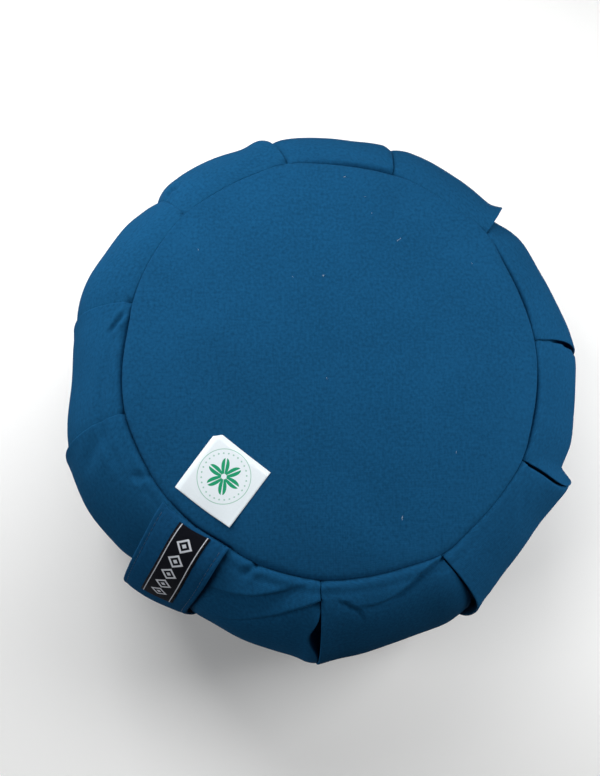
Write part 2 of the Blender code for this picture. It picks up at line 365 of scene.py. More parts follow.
PLEATS = (
    Pleat(174.9, -1.0, (-2.0, -0.3, 1.2, 2.9, 0.9, -0.8, -3.6, -5.6), ear=-1.0, gap=0.8, corner=1.2),
    Pleat(
        141.5, 4.0, (-4.6, -2.0, 0.0, 1.6, 1.7, 0.2, -1.5, 0.0),
        ear=6.0, ear_width=0.24, fold=6.5, gap=1.0, corner=2.2,
    ),
    Pleat(
        110.7, 4.2, (-6.5, -4.6, -3.0, -1.1, 0.0, -0.1, 0.5, 0.6),
        ear=-2.6, ear_width=0.05, gap=1.6, corner=1.0,
    ),
    Pleat(79.1, 4.8, (-3.0, -0.8, 0.4, 0.7, 0.2, -0.9, -2.4, -3.4), ear=4.6, gap=1.0, corner=3.6),
    Pleat(
        45.8, 0.3, (-12.7, -12.2, -10.2, -5.4, -2.7, -1.4, -0.1, 0.7),
        ear=0.3, gap=4.8, widest=0.40, spread=0.28,
    ),
    Pleat(
        12.1, 1.3, (1.5, 0.8, 0.4, -0.7, -2.3, -2.2, -4.8, -6.5),
        hook=5.5, ear=10.0, ear_width=0.085, ear_curve=1.1, gap=1.0, widest=0.20, spread=0.35, least=1.0,
        corner=1.2,
    ),
    Pleat(
        -21.9, 4.6, (3.4, 1.6, -0.9, -4.2, -4.9, -3.6, -1.0, 0.2),
        ear=1.6, gap=1.6, widest=0.50, spread=0.22, least=1.1, corner=2.8,
    ),
    Pleat(
        -54.3, 1.6, (-3.4, -4.2, -4.2, -4.6, -3.1, -0.8, 0.6, 3.6),
        ear=0.2, gap=6.2, widest=0.283, spread=0.078, least=0.8, corner=0.8, fade=2.0, spacing=0.011,
    ),
    Pleat(-89.4, 0.0, (3.6, 2.7, 0.4, -1.4, -3.3, -4.0, -3.5, -3.0), gap=0.3, spacing=0.011),
    Pleat(
        -125.4, 1.5, (-3.0, -3.0, -3.0, -2.8, 1.0, 4.8, 5.5, 5.0),
        ear=1.0, gap=0.6, corner=0.8, spacing=0.020,
    ),
    Pleat(
        -155.9, 4.2, (3.0, 2.5, 1.6, -0.2, -2.4, -2.4, -1.8, -1.6),
        ear=1.7, ear_width=0.12, gap=0.6, corner=1.0,
    ),
)


# How tightly the seam is drawn in, which makes it a dark line in some places and hardly shows in
# others: angle in degrees, and share.
SEAM_TIGHTNESS = (
    (-178.0, 0.0), (-164.0, 0.04), (-155.0, 0.5), (-148.0, 1.0), (-128.0, 0.9), (-120.0, 1.1), (-106.0, 0.9),
    (-88.0, 0.5), (-70.0, 1.2), (-54.0, 1.0), (-38.0, 0.75), (-22.0, 0.8), (-8.0, 0.45), (10.0, 0.5),
    (16.0, 1.0), (24.0, 1.3), (32.0, 1.0), (40.0, 0.4), (48.0, 0.5), (58.0, 1.2), (68.0, 0.9),
    (77.0, 0.5), (84.0, 0.0), (105.0, 0.0), (113.0, 1.2), (122.0, 1.1), (130.0, 0.6), (138.0, 0.4),
    (147.0, 0.0), (168.0, 0.0),
)


@dataclass(frozen=True)
class CushionForm:
    """The plain form that all pieces share, before pleats and creases, and how its seams lie.

    Attributes:
        height: From the floor to the top panel's middle.
        crown: The top panel's rise above its seam.
        crown_powers: Powers of its outline, along the radius and of the whole.
        seam_radius: Both panels, seam to centre.
        widest_radius: The band at its waist.
        bottom_seam_z: Height of the bottom seam.
        rest_radius: The flat of the bottom panel.
        oval: Stretch along oval_angle, and as much drawn in across it.
        oval_angle: Direction of the longer way.
        corner_spread: Degrees to each side over which a pleat pulls the seam.
        pulls: Where the strap's end and the slack at the left draw the seam in: an angle,
            millimetres, and degrees to each side.
        pull_reach: Length outside the seam over which they fade.
        pleats: The band's pleats, by falling angle.
        seams: How tightly they are drawn in, as angles and shares.
        groove: Least and added depth of the seams' groove.
        groove_width: Half its width where the tightness is two thirds.
        groove_power: How squarely it closes.
        slack_from: Tightness below which a seam is slack.
        fill: How far the cloth swells at a slack seam, and over what length.
    """

    height: float
    crown: float = 0.013
    crown_powers: tuple[float, float] = (2.6, 0.75)
    seam_radius: float = 0.1365
    widest_radius: float = 0.1785
    bottom_seam_z: float = 0.008
    rest_radius: float = 0.105
    oval: float = 1.02
    oval_angle: float = 130.6
    corner_spread: float = 7.0
    pulls: tuple[tuple[float, float, float], ...] = ((-81.5, 2.0, 7.0), (-151.0, 2.7, 13.0))
    pull_reach: float = 0.008
    pleats: tuple[Pleat, ...] = PLEATS
    seams: tuple[tuple[float, float], ...] = SEAM_TIGHTNESS
    groove: tuple[float, float] = (0.0001, 0.0018)
    groove_width: float = 0.0009
    groove_power: float = 1.3
    slack_from: float = 0.8
    fill: tuple[float, float] = (0.0010, 0.008)

    @property
    def seam_z(self) -> float:
        """Height of the top seam."""
        return self.height - self.crown

    @property
    def drop(self) -> float:
        """Half the height between the seams."""
        return 0.5 * (self.seam_z - self.bottom_seam_z)

    def crown_z(self, radius: Array) -> Array:
        """The top panel: seam height plus crown (1 - (r / R)^2.6)^0.75, which falls fastest near the seam."""
        along, whole = self.crown_powers
        share = np.clip(np.asarray(radius) / self.seam_radius, 0.0, 1.0)
        return self.seam_z + self.crown * (1.0 - share**along) ** whole

    def sole_z(self, radius: Array) -> Array:
        """The bottom panel: flat where it rests, then a quarter cosine up to its seam."""
        rise = (np.asarray(radius) - self.rest_radius) / (self.seam_radius - self.rest_radius)
        return self.bottom_seam_z * (1.0 - np.cos(0.5 * np.pi * np.clip(rise, 0.0, 1.0)))

    def band(self, turn: Array) -> tuple[Array, Array, Array, Array]:
        """The band: half an ellipse from the top seam, turn 0, to the bottom seam, turn pi.

        Args:
            turn: Where on the half ellipse, in radians.

        Returns:
            The radius, the height, and the outward direction's parts along the radius and +Z.
        """
        reach = self.widest_radius - self.seam_radius
        radius = self.seam_radius + reach * np.sin(turn)
        height = self.bottom_seam_z + self.drop * (1.0 + np.cos(turn))
        out, up = self.drop * np.sin(turn), reach * np.cos(turn)
        size = np.hypot(out, up)
        return radius, height, out / size, up / size

    def tightness(self, degrees: Array) -> Array:
        """How tightly the seams are drawn in at some angles, 0 to about 1.3."""
        angles, shares = zip(*self.seams)
        return np.interp(degrees, angles, shares, period=360.0)

    def seam_shape(self, degrees: Array, edge: Array) -> tuple[Array, Array, Array, Array]:
        """What a seam does to the cloth on both of its sides.

        With d the distance from the seam and k its tightness there, the groove is
        (least + k added) exp(-(d / w)^1.3), and w is (0.6 + 0.6 k) times the groove's width. The
        slack grows from 0 to 1 as k falls to 0, and a slack seam swells by fill exp(-d / 8 mm).

        Args:
            degrees: Angles.
            edge: Distance d from the seam.

        Returns:
            The tightness, the groove's depth, the slack, and the swell at a full slack.
        """
        tight = self.tightness(degrees)
        width = self.groove_width * (0.6 + 0.6 * tight)
        groove = (self.groove[0] + tight * self.groove[1]) * np.exp(-((edge / width) ** self.groove_power))
        slack = np.clip(1.0 - tight / self.slack_from, 0.0, 1.0)
        return tight, groove, slack, self.fill[0] * np.exp(-edge / self.fill[1])

    def way_down(self) -> tuple[Array, Array]:
        """Turns from 0 to pi, and the length of cloth from the top seam down to each."""
        samples = 1201
        turn = np.linspace(0.0, np.pi, samples)
        return turn, run_length(*self.band(turn)[:2])

    def settled(self, points: Array) -> Array:
        """Points of the round form where the cushion really has them.

        Each pleat pulls the seam out by its corner times a bell of the angle, fading with the
        fourth power of the radius inside it. The pulls draw it in likewise, and fade outside it
        too. Then the plan is stretched to a slight oval.

        Args:
            points: Points of the round form, with x, y and z last.

        Returns:
            The moved points, of the same shape.
        """
        radius = np.hypot(points[..., 0], points[..., 1])
        degrees = np.degrees(np.arctan2(points[..., 1], points[..., 0]))
        outward = sum(p.corner * MM * bell(off_by(degrees, p.angle), self.corner_spread) for p in self.pleats)
        inward = sum(by * MM * bell(off_by(degrees, middle), spread) for middle, by, spread in self.pulls)
        beyond = np.clip(radius - self.seam_radius, 0.0, None)
        pull = outward - inward * np.exp(-beyond / self.pull_reach)
        grow = 1.0 + pull / self.seam_radius * np.minimum(radius / self.seam_radius, 1.0) ** 4
        flat = points[..., :2] * grow[..., None]
        turn = math.radians(self.oval_angle)
        along = np.array((math.cos(turn), math.sin(turn)))
        across = np.array((-along[1], along[0]))
        long = (flat @ along)[..., None] * along * self.oval
        short = (flat @ across)[..., None] * across / self.oval
        return np.concatenate((long + short, points[..., 2:]), axis=-1)


@dataclass(frozen=True)
class Unevenness:
    """How loose filling lifts the cloth here and there: a sum of plane waves in space.

    Attributes:
        seed: Start of the random draws.
        height: The usual size of the relief.
        shortest: Shortest wave.
        longest: Longest wave.
        waves: How many waves are summed.
    """

    seed: int
    height: float
    shortest: float
    longest: float
    waves: int = 18

    def relief(self, points: Array) -> Array:
        """The height times the sum of cos(k . p + phase), over the root of half the number of waves."""
        rng = np.random.default_rng(self.seed)
        heading = rng.normal(size=(self.waves, 3))
        heading /= np.linalg.norm(heading, axis=1, keepdims=True)
        length = np.exp(rng.uniform(math.log(self.shortest), math.log(self.longest), self.waves))
        phase = rng.uniform(0.0, 2.0 * np.pi, self.waves)
        swing = points @ (2.0 * np.pi * heading / length[:, None]).T + phase
        return self.height * np.cos(swing).sum(axis=-1) / math.sqrt(0.5 * self.waves)


@dataclass(frozen=True)
class Gathers:
    """Small uneven waves that the stitches draw into the cloth along a seam.

    Attributes:
        height: Their usual size.
        waves: For each kind its strength, how many there are round the seam, and how far and how
            often these sway.
        reach: Over what distance from the seam they fade.
        start: Over what distance from it they begin.
    """

    height: float
    waves: tuple[tuple[float, float, float, float], ...]
    reach: float
    start: float

    def relief(self, degrees: Array, edge: Array) -> Array:
        """The height times the sum of strength sin(count t + sway sin(sways t)), faded at both ends.

        Args:
            degrees: Angles, which are t in radians.
            edge: Distance from the seam.

        Returns:
            The relief.
        """
        turn = np.radians(degrees)
        swing = sum(
            strength * np.sin(count * turn + sway * np.sin(sways * turn))
            for strength, count, sway, sways in self.waves
        )
        return self.height * swing * np.exp(-edge / self.reach) * (1.0 - np.exp(-edge / self.start))


@dataclass(frozen=True)
class Crease:
    """A trough pressed into the cloth along a line, or a tuck: a fold that hangs over the line.

    Attributes:
        path: Points of the line, as degrees and share of the half turn from the top seam.
        depth: How deep it is.
        width: Half its width.
        swell: Height of the cloth beside it, as a share of the depth.
        side: 0 for a trough. 1 for a tuck whose fold lies on the left of the line's run, with the
            band unrolled and its top seam up, and -1 for one on the right.
        sharp_start: Whether it starts at full depth, as at a pleat's foot.
        ends: Shares of the line over which it begins and ends.
        behind: Length over which a sharp start fades behind the line.
        swell_at: Place and half width of a trough's swell, in widths.
        tuck: In widths, half a tuck's step, and how far its upper and lower sides fade.
    """

    path: tuple[tuple[float, float], ...]
    depth: float
    width: float
    swell: float = 0.35
    side: int = 0
    sharp_start: bool = False
    ends: tuple[float, float] = (0.35, 0.5)
    behind: float = 0.0008
    swell_at: tuple[float, float] = (2.2, 1.1)
    tuck: tuple[float, float, float] = (0.45, 3.0, 1.5)

    def relief(self, across: Array, down: Array, line: Array) -> Array:
        """The crease's relief on the band.

        With d the distance to the nearest point of the line, a trough is -depth bell(d / width)
        plus a swell bell at 2.2 widths. A tuck steps from the swell down to the depth over about
        a width, and both fade with d: exp(-d / (3 width)) above, exp(-d / (1.5 width)) below.
        Either eases in and out with the share of the line's run, but for a sharp start.

        Args:
            across: Length round the band from the line's first point.
            down: Length down the band.
            line: The line's points in the same two lengths, (points, 2).

        Returns:
            The relief, of the shape of across.
        """
        steps = np.diff(line, axis=0)
        runs = np.linalg.norm(steps, axis=1)
        before = np.concatenate(((0.0,), np.cumsum(runs)))
        nearest = np.full(across.shape, np.inf)
        share, side = np.zeros(across.shape), np.ones(across.shape)
        ahead = (across - line[0, 0]) * steps[0, 0] + (down - line[0, 1]) * steps[0, 1]
        for start, step, run, done in zip(line[:-1], steps, runs, before[:-1]):
            x, y = across - start[0], down - start[1]
            t = np.clip((x * step[0] + y * step[1]) / run**2, 0.0, 1.0)
            distance = np.hypot(x - t * step[0], y - t * step[1])
            closer = distance < nearest
            nearest = np.where(closer, distance, nearest)
            share = np.where(closer, (done + t * run) / before[-1], share)
            side = np.where(closer, np.sign(step[0] * y - step[1] * x), side)
        if self.sharp_start:
            begins = np.exp(np.minimum(ahead / runs[0], 0.0) / self.behind)
        else:
            begins = ease(share / self.ends[0])
        fade = ease((1.0 - share) / self.ends[1]) * begins
        if self.side == 0:
            place, wide = (widths * self.width for widths in self.swell_at)
            return self.depth * fade * (self.swell * bell(nearest - place, wide) - bell(nearest, self.width))
        step, above, below = (widths * self.width for widths in self.tuck)
        over = 0.5 - 0.5 * np.tanh(side * self.side * nearest / step)
        high, low = self.swell * np.exp(-nearest / above), np.exp(-nearest / below)
        return self.depth * fade * (over * high - (1.0 - over) * low)


# The creases and tucks that the cloth shows beside the top seam, on both sides of the strap.
CREASES = (
    Crease(((-71.4, 0.006), (-73.2, 0.050), (-74.2, 0.095)), 0.0016, 0.0021, sharp_start=True),
    Crease(
        ((-82.0, 0.216), (-75.9, 0.189), (-69.9, 0.150), (-64.2, 0.089), (-59.6, 0.042), (-56.6, 0.008)),
        depth=0.0060, width=0.0028, swell=0.6, side=-1,
    ),
    Crease(
        ((-54.4, 0.094), (-56.2, 0.111), (-60.9, 0.161), (-66.4, 0.233), (-72.6, 0.325), (-77.0, 0.37)),
        depth=0.0058, width=0.0022, swell=0.6, side=1, sharp_start=True,
    ),
    Crease(
        (
            (-22.2, 0.010), (-25.4, 0.022), (-29.2, 0.050), (-32.4, 0.083), (-36.6, 0.117), (-41.4, 0.136),
            (-48.0, 0.12),
        ),
        depth=0.0040, width=0.0018, swell=0.6, side=1, sharp_start=True,
    ),
    Crease(((-51.4, 0.085), (-47.9, 0.103), (-44.6, 0.150), (-43.9, 0.22)), 0.0026, 0.0014, side=-1),
    Crease(((-108.0, 0.10), (-119.0, 0.115), (-133.0, 0.10), (-149.0, 0.05)), 0.0010, 0.0026, swell=0.6),
    Crease(((-154.3, 0.010), (-151.6, 0.030), (-148.6, 0.060), (-145.6, 0.10)), 0.0018, 0.0013, swell=0.8),
    Crease(((169.2, 0.16), (171.7, 0.20), (174.6, 0.19)), 0.0034, 0.0022, swell=0.3),
    Crease(((152.4, 0.083), (149.1, 0.02)), 0.0008, 0.0030),
    Crease(((-107.4, 0.004), (-108.9, 0.05), (-110.9, 0.10)), 0.0012, 0.0024, sharp_start=True),
    Crease(((-116.4, 0.30), (-119.9, 0.18), (-124.4, 0.05)), 0.0009, 0.0040),
    Crease(((7.6, 0.05), (4.1, 0.12), (-1.4, 0.20)), 0.0007, 0.0032),
)


# ---------------- finishes


def linear(colour: str) -> tuple[float, float, float, float]:
    """An sRGB hex colour as linear RGBA.

    Args:
        colour: The colour as #rrggbb.

    Returns:
        Red, green and blue turned linear, and an alpha of 1.
    """
    parts = [int(colour[i : i + 2], 16) / 255.0 for i in (1, 3, 5)]
    turned = [c / 12.92 if c <= 0.04045 else ((c + 0.055) / 1.055) ** 2.4 for c in parts]
    return (*turned, 1.0)


def shaded(colour: str, shades: Sequence[float]) -> list[tuple[float, float, float, float]]:
    """An sRGB hex colour as linear RGBA, made darker or lighter by each of some shares."""
    base = np.array(linear(colour)[:3])
    return [(*(shade * base), 1.0) for shade in shades]


@dataclass
class Graph:
    """A material's nodes in the making."""

    name: str
    material: Material = field(init=False)
    shader: Node = field(init=False)

    def __post_init__(self) -> None:
        """Makes the material with its shader."""
        self.material = bpy.data.materials.new(self.name)
        self.material.use_nodes = True
        self.shader = self.material.node_tree.nodes["Principled BSDF"]

    def fill(self, node: Node, inputs: Mapping | Sequence) -> None:
        """Sets a node's inputs by name or number: a socket is linked, and anything else is its value."""
        for key, value in inputs.items() if isinstance(inputs, Mapping) else enumerate(inputs):
            if isinstance(value, NodeSocket):
                self.material.node_tree.links.new(value, node.inputs[key])
            else:
                node.inputs[key].default_value = value

    def add(
        self, kind: str, inputs: Mapping | Sequence, out: int | str = 0, **settings: object
    ) -> NodeSocket:
        """Adds one node.

        Args:
            kind: The node's type without its ShaderNode, and its operation where it has one.
            inputs: Its inputs as sockets to link or values, in their order or by name or number.
            out: The output wanted, by name or number.
            settings: The node's own settings.

        Returns:
            That output.
        """
        name, *operation = kind.split()
        node = self.material.node_tree.nodes.new("ShaderNode" + name)
        for key, value in (*(("operation", word) for word in operation), *settings.items()):
            setattr(node, key, value)
        self.fill(node, inputs)
        return node.outputs[out]

    def row(self, value: NodeSocket, *steps: tuple) -> NodeSocket:
        """Puts a value through a row of nodes, each given as its kind and its further inputs."""
        for kind, *others in steps:
            value = self.add(kind, (value, *others))
        return value


@dataclass(frozen=True)
class CanvasFinish:
    """Woven cotton canvas, piece dyed: matt, softly sheened, each yarn a little unlike the next.

    Attributes:
        name: The material's name.
        colour: The cloth's colour.
        thread_gap: Distance between yarns. Real canvas has about 0.5 mm, drawn here at nearly
            twice that, so that it shows.
        weave_height: Height of the weave's bump.
        shades: Darkest and lightest, as shares of the colour.
        weave_share: How far the weave's height changes the shade.
        yarn_share: How far one yarn's dye differs from the next one's.
        fuzz_share: How far the fibres' fuzz does.
        mottle: How far the dye varies over a few centimetres.
        rubbed: How much lighter a rubbed fold is.
    """

    name: str
    colour: str
    thread_gap: float = 0.00095
    weave_height: float = 0.00018
    shades: tuple[float, float] = (0.70, 1.30)
    weave_share: float = 0.10
    yarn_share: float = 0.20
    fuzz_share: float = 1.3
    mottle: float = 0.52
    rubbed: float = 0.25

    def material(self) -> Material:
        """Plain weave on the cloth's own map.

        With a and b the sines of pi u / gap and pi v / gap, the warp's height is |a| + a b, the
        weft's is |b| - a b, and the higher one shows. Stretched noise makes uneven yarns.

        Returns:
            The new material.
        """
        graph = Graph(self.name)
        add = graph.add
        place = add("UVMap", {}, uv_map=CLOTH_UV)
        drift = add("TexNoise", {"Vector": place, "Scale": 45.0, "Detail": 2.0}, "Color")
        centred = add("VectorMath SUBTRACT", (drift, (0.5, 0.5, 0.5)))
        wander = add("VectorMath MULTIPLY_ADD", (centred, (0.004, 0.004, 0.0), place))
        phase = (math.pi / self.thread_gap, math.pi / self.thread_gap, 0.0)
        scaled = add("VectorMath MULTIPLY", (wander, phase))
        sines = add("VectorMath SINE", (scaled,))
        sizes = add("VectorMath ABSOLUTE", (sines,))
        a, b = (add("SeparateXYZ", (sines,), axis) for axis in ("X", "Y"))
        warp_size, weft_size = (add("SeparateXYZ", (sizes,), axis) for axis in ("X", "Y"))
        cross = add("Math MULTIPLY", (a, b))
        warp = add("Math ADD", (warp_size, cross))
        weft = add("Math SUBTRACT", (weft_size, cross))
        weave = add("Math MAXIMUM", (warp, weft))

        scales = ((560.0, 70.0, 1.0), (70.0, 560.0, 1.0))
        stretched = (add("Mapping", {"Vector": wander, "Scale": scale}) for scale in scales)
        yarns = [add("TexNoise", {"Vector": where, "Scale": 1.0, "Detail": 2.0}) for where in stretched]
        yarn = add("Math ADD", yarns)
        dye = add("TexNoise", {"Vector": place, "Scale": 22.0, "Detail": 4.0, "Roughness": 0.6})
        fuzz = add("TexNoise", {"Vector": place, "Scale": 500.0, "Detail": 2.5})

        # Each part's share times its mean is taken off, so that the mean stays at one half.
        mean_weave = 1.10
        light = add("Math MULTIPLY_ADD", (weave, self.weave_share, 0.5 - mean_weave * self.weave_share))
        parts = ((yarn, self.yarn_share, 1.0), (fuzz, self.fuzz_share, 0.5), (dye, self.mottle, 0.5))
        for part, share, mean in parts:
            centred = add("Math SUBTRACT", (part, mean))
            light = add("Math MULTIPLY_ADD", (centred, share, light))
        rubbed = add("Attribute", {}, "Fac", attribute_name=WEAR)
        light = add("Math MULTIPLY_ADD", (rubbed, self.rubbed, light))
        dark, pale = shaded(self.colour, self.shades)
        share = add("MapRange", (light, 0.0, 1.0, 0.0, 1.0))
        colour = add("Mix", {0: share, 6: dark, 7: pale}, 2, data_type="RGBA")

        height = add("Math MULTIPLY_ADD", (weave, 0.3, fuzz))
        height = add("Math MULTIPLY_ADD", (yarn, 0.5, height))
        bump = add("Bump", {"Strength": 0.45, "Distance": self.weave_height, "Height": height})
        shine = {"Roughness": 0.95, "Specular IOR Level": 0.03}
        sheen = {"Sheen Weight": 0.02, "Sheen Roughness": 0.6, "Sheen Tint": (0.15, 0.6, 1.0, 1.0)}
        graph.fill(graph.shader, {"Base Color": colour, "Normal": bump, **shine, **sheen})
        return graph.material


@dataclass(frozen=True)
class ThreadFinish:
    """Spun polyester sewing thread: twisted, with a slight gloss."""

    name: str
    colour: str
    roughness: float = 0.55

    def material(self) -> Material:
        """One colour with the twist as fine noise.

        Returns:
            The new material.
        """
        graph = Graph(self.name)
        add = graph.add
        place = add("TexCoord", {}, "Object")
        twist = add("TexNoise", {"Vector": place, "Scale": 2500.0, "Detail": 1.0})
        dark, pale = shaded(self.colour, (0.7, 1.25))
        colour = add("Mix", {0: twist, 6: dark, 7: pale}, 2, data_type="RGBA")
        bump = add("Bump", {"Strength": 0.4, "Distance": 0.0001, "Height": twist})
        graph.fill(graph.shader, {"Base Color": colour, "Normal": bump, "Roughness": self.roughness})
        return graph.material


@dataclass(frozen=True)
class WovenLabelFinish:
    """Damask label tape: fine black satin weave with an off-white weft ornament.

    The ornament is a plain chain of lozenges between two border lines.

    Attributes:
        name: The material's name.
        ground: Colour of the ground weave.
        figure: Colour of the ornament.
        half_width: Half the label's width.
        length: Its length.
        lozenges: How many lozenges the chain has.
        chain: The chain's width, as a share of the label's.
        margin: What is left free at each end, as a share of the length.
        picks: Distance between the weave's ribs along the label, and across it.
    """

    name: str
    ground: str
    figure: str
    half_width: float
    length: float
    lozenges: int = 5
    chain: float = 0.58
    margin: float = 0.08
    picks: tuple[float, float] = (0.0006, 0.0005)

    def material(self) -> Material:
        """The ornament from the label's own map, u across from its middle and v along.

        A lozenge holds where |u| / w + |2 fract(v n / L) - 1| is under 1, and a smaller one
        inside it is left dark but for its heart. The border lines hold where |u| is near 0.8 of
        the half width.

        Returns:
            The new material.
        """
        graph = Graph(self.name)
        add = graph.add
        place = add("UVMap", {}, uv_map=CLOTH_UV)
        u, v = (add("SeparateXYZ", (place,), axis) for axis in ("X", "Y"))
        run, soft, line_at = 1.0 - 2.0 * self.margin, 0.0002, 1.42
        whole = ("Math ABSOLUTE",)
        across = graph.row(u, ("Math MULTIPLY", 1.0 / (self.chain * self.half_width)), whole)
        turns = ("Math MULTIPLY_ADD", self.lozenges / (self.length * run), -self.margin * self.lozenges)
        saw = graph.row(v, turns, ("Math FRACT",), ("Math MULTIPLY_ADD", 2.0, -1.0), whole)
        reach = add("Math ADD", (across, saw))
        limits = ((0.92, 0.86), (0.58, 0.64), (0.30, 0.24))
        rim, hollow, heart = (add("MapRange", (reach, *limit)) for limit in limits)
        motif = graph.row(rim, ("Math MULTIPLY", hollow), ("Math MAXIMUM", heart))
        end = 0.5 * self.length * run
        on_run = graph.row(v, ("Math SUBTRACT", 0.5 * self.length), whole, ("MapRange", end, end - soft))
        motif = add("Math MULTIPLY", (motif, on_run))
        line = graph.row(across, ("Math SUBTRACT", line_at), whole, ("MapRange", 0.06, 0.03))
        figure = add("Math MAXIMUM", (motif, line))

        ways = zip((v, u), self.picks)
        ribs = [graph.row(way, ("Math MULTIPLY", 2.0 * math.pi / pick), ("Math SINE",)) for way, pick in ways]
        threads = add("Math MULTIPLY", ribs)
        depth = 0.15
        tone = add("Math MULTIPLY_ADD", (threads, depth, 1.0 - depth))
        inks = {6: linear(self.ground), 7: linear(self.figure)}
        colour = add("Mix", {0: figure, **inks}, 2, data_type="RGBA")
        shade = add("CombineColor", (tone, tone, tone))
        parts = {0: 1.0, 6: colour, 7: shade}
        colour = add("Mix", parts, 2, data_type="RGBA", blend_type="MULTIPLY")
        height = add("Math MULTIPLY_ADD", (figure, 1.2, threads))
        bump = add("Bump", {"Strength": 0.6, "Distance": 0.0001, "Height": height})
        shine = {"Roughness": 0.8, "Specular IOR Level": 0.08}
        graph.fill(graph.shader, {"Base Color": colour, "Normal": bump, **shine})
        return graph.material


@dataclass(frozen=True)
class PrintedPaperFinish:
    """Coated white label paper with a plain green print: a six-petal rosette in two rings.

    Attributes:
        name: The material's name.
        paper: Colour of the paper.
        ink: Colour of the rosette.
        pale_ink: Colour of the rings.
        centre: Middle of the rosette on the label.
        petals: Radius of the rosette.
        ring: Radius of the dotted ring.
        hoop: Radius of the thin ring round it.
    """

    name: str
    paper: str
    ink: str
    pale_ink: str
    centre: tuple[float, float] = (-0.0005, 0.0018)
    petals: float = 0.0112
    ring: float = 0.0140
    hoop: float = 0.0166

    def material(self) -> Material:
        """The print from the label's own map.

        With r and a the distance and angle from the centre, a petal holds where
        r < R (0.30 + 0.70 |cos 3a|), the ring's dots where |r - ring| + |sin 14a| / 14 r is
        small, and the thin ring where |r - hoop| is.

        Returns:
            The new material.
        """
        graph = Graph(self.name)
        add = graph.add
        place = add("UVMap", {}, uv_map=CLOTH_UV)
        middle = (*self.centre, 0.0)
        spot = add("VectorMath SUBTRACT", (place, middle))
        x, y = (add("SeparateXYZ", (spot,), axis) for axis in ("X", "Y"))
        radius = add("VectorMath LENGTH", (spot,), "Value")
        angle = add("Math ARCTAN2", (y, x))
        whole, deep, soft, dots = ("Math ABSOLUTE",), 0.70, 0.00008, 14.0
        lobes = graph.row(angle, ("Math MULTIPLY", 3.0), ("Math COSINE",), whole)
        reach = add("Math MULTIPLY_ADD", (lobes, deep * self.petals, (1.0 - deep) * self.petals))
        petal = graph.row(radius, ("Math SUBTRACT", reach), ("MapRange", soft, -soft))
        vein = add("MapRange", (lobes, 0.995, 0.985))
        eye = add("MapRange", (radius, 0.0016, 0.0018))
        petal = graph.row(petal, ("Math MULTIPLY", eye), ("Math MULTIPLY", vein))
        off_ring = graph.row(radius, ("Math SUBTRACT", self.ring), whole)
        beads = graph.row(angle, ("Math MULTIPLY", dots), ("Math SINE",), whole)
        near = ("Math MULTIPLY_ADD", self.ring / dots, off_ring)
        dot = graph.row(beads, near, ("MapRange", 0.00072, 0.00060))
        hoop = graph.row(radius, ("Math SUBTRACT", self.hoop), whole, ("MapRange", 0.00030, 0.00020))
        pale = add("Math MAXIMUM", (dot, hoop))

        fibre = add("TexNoise", {"Vector": place, "Scale": 900.0, "Detail": 3.0})
        shade = add("Math MULTIPLY_ADD", (fibre, 0.06, 0.94))
        grey = add("CombineColor", (shade, shade, shade))
        inks = {0: pale, 6: linear(self.paper), 7: linear(self.pale_ink)}
        colour = add("Mix", inks, 2, data_type="RGBA")
        colour = add("Mix", {0: petal, 6: colour, 7: linear(self.ink)}, 2, data_type="RGBA")
        parts = {0: 1.0, 6: colour, 7: grey}
        colour = add("Mix", parts, 2, data_type="RGBA", blend_type="MULTIPLY")
        bump = add("Bump", {"Strength": 0.25, "Distance": 0.00005, "Height": fibre})
        shine = {"Roughness": 0.38, "Coat Weight": 0.15, "Coat Roughness": 0.3}
        graph.fill(graph.shader, {"Base Color": colour, "Normal": bump, **shine})
        return graph.material


@dataclass(frozen=True)
class FloorFinish:
    """A plain pale studio floor of matt painted board."""

    name: str = "matt painted board"
    colour: str = "#fcfcfb"

    def material(self) -> Material:
        """One pale colour with a faint roller grain.

        Returns:
            The new material.
        """
        graph = Graph(self.name)
        add = graph.add
        place = add("TexCoord", {}, "Object")
        grain = add("TexNoise", {"Vector": place, "Scale": 180.0, "Detail": 2.0})
        bump = add("Bump", {"Strength": 0.05, "Distance": 0.001, "Height": grain})
        fixed = {"Base Color": linear(self.colour), "Roughness": 0.9, "Specular IOR Level": 0.1}
        graph.fill(graph.shader, {"Normal": bump, **fixed})
        return graph.material


# ---------------- the sub-assemblies


# How much of a slot's lip its closed end takes up, which leaves the rest to the next section.
LIP_SHARE = 0.9
# A stitch's thickness along it, as shares of the thread's, and the points round it.
STITCH_TAPER = (0.5, 1.0, 1.0, 1.0, 1.0, 0.5)
THREAD_SIDES = 6


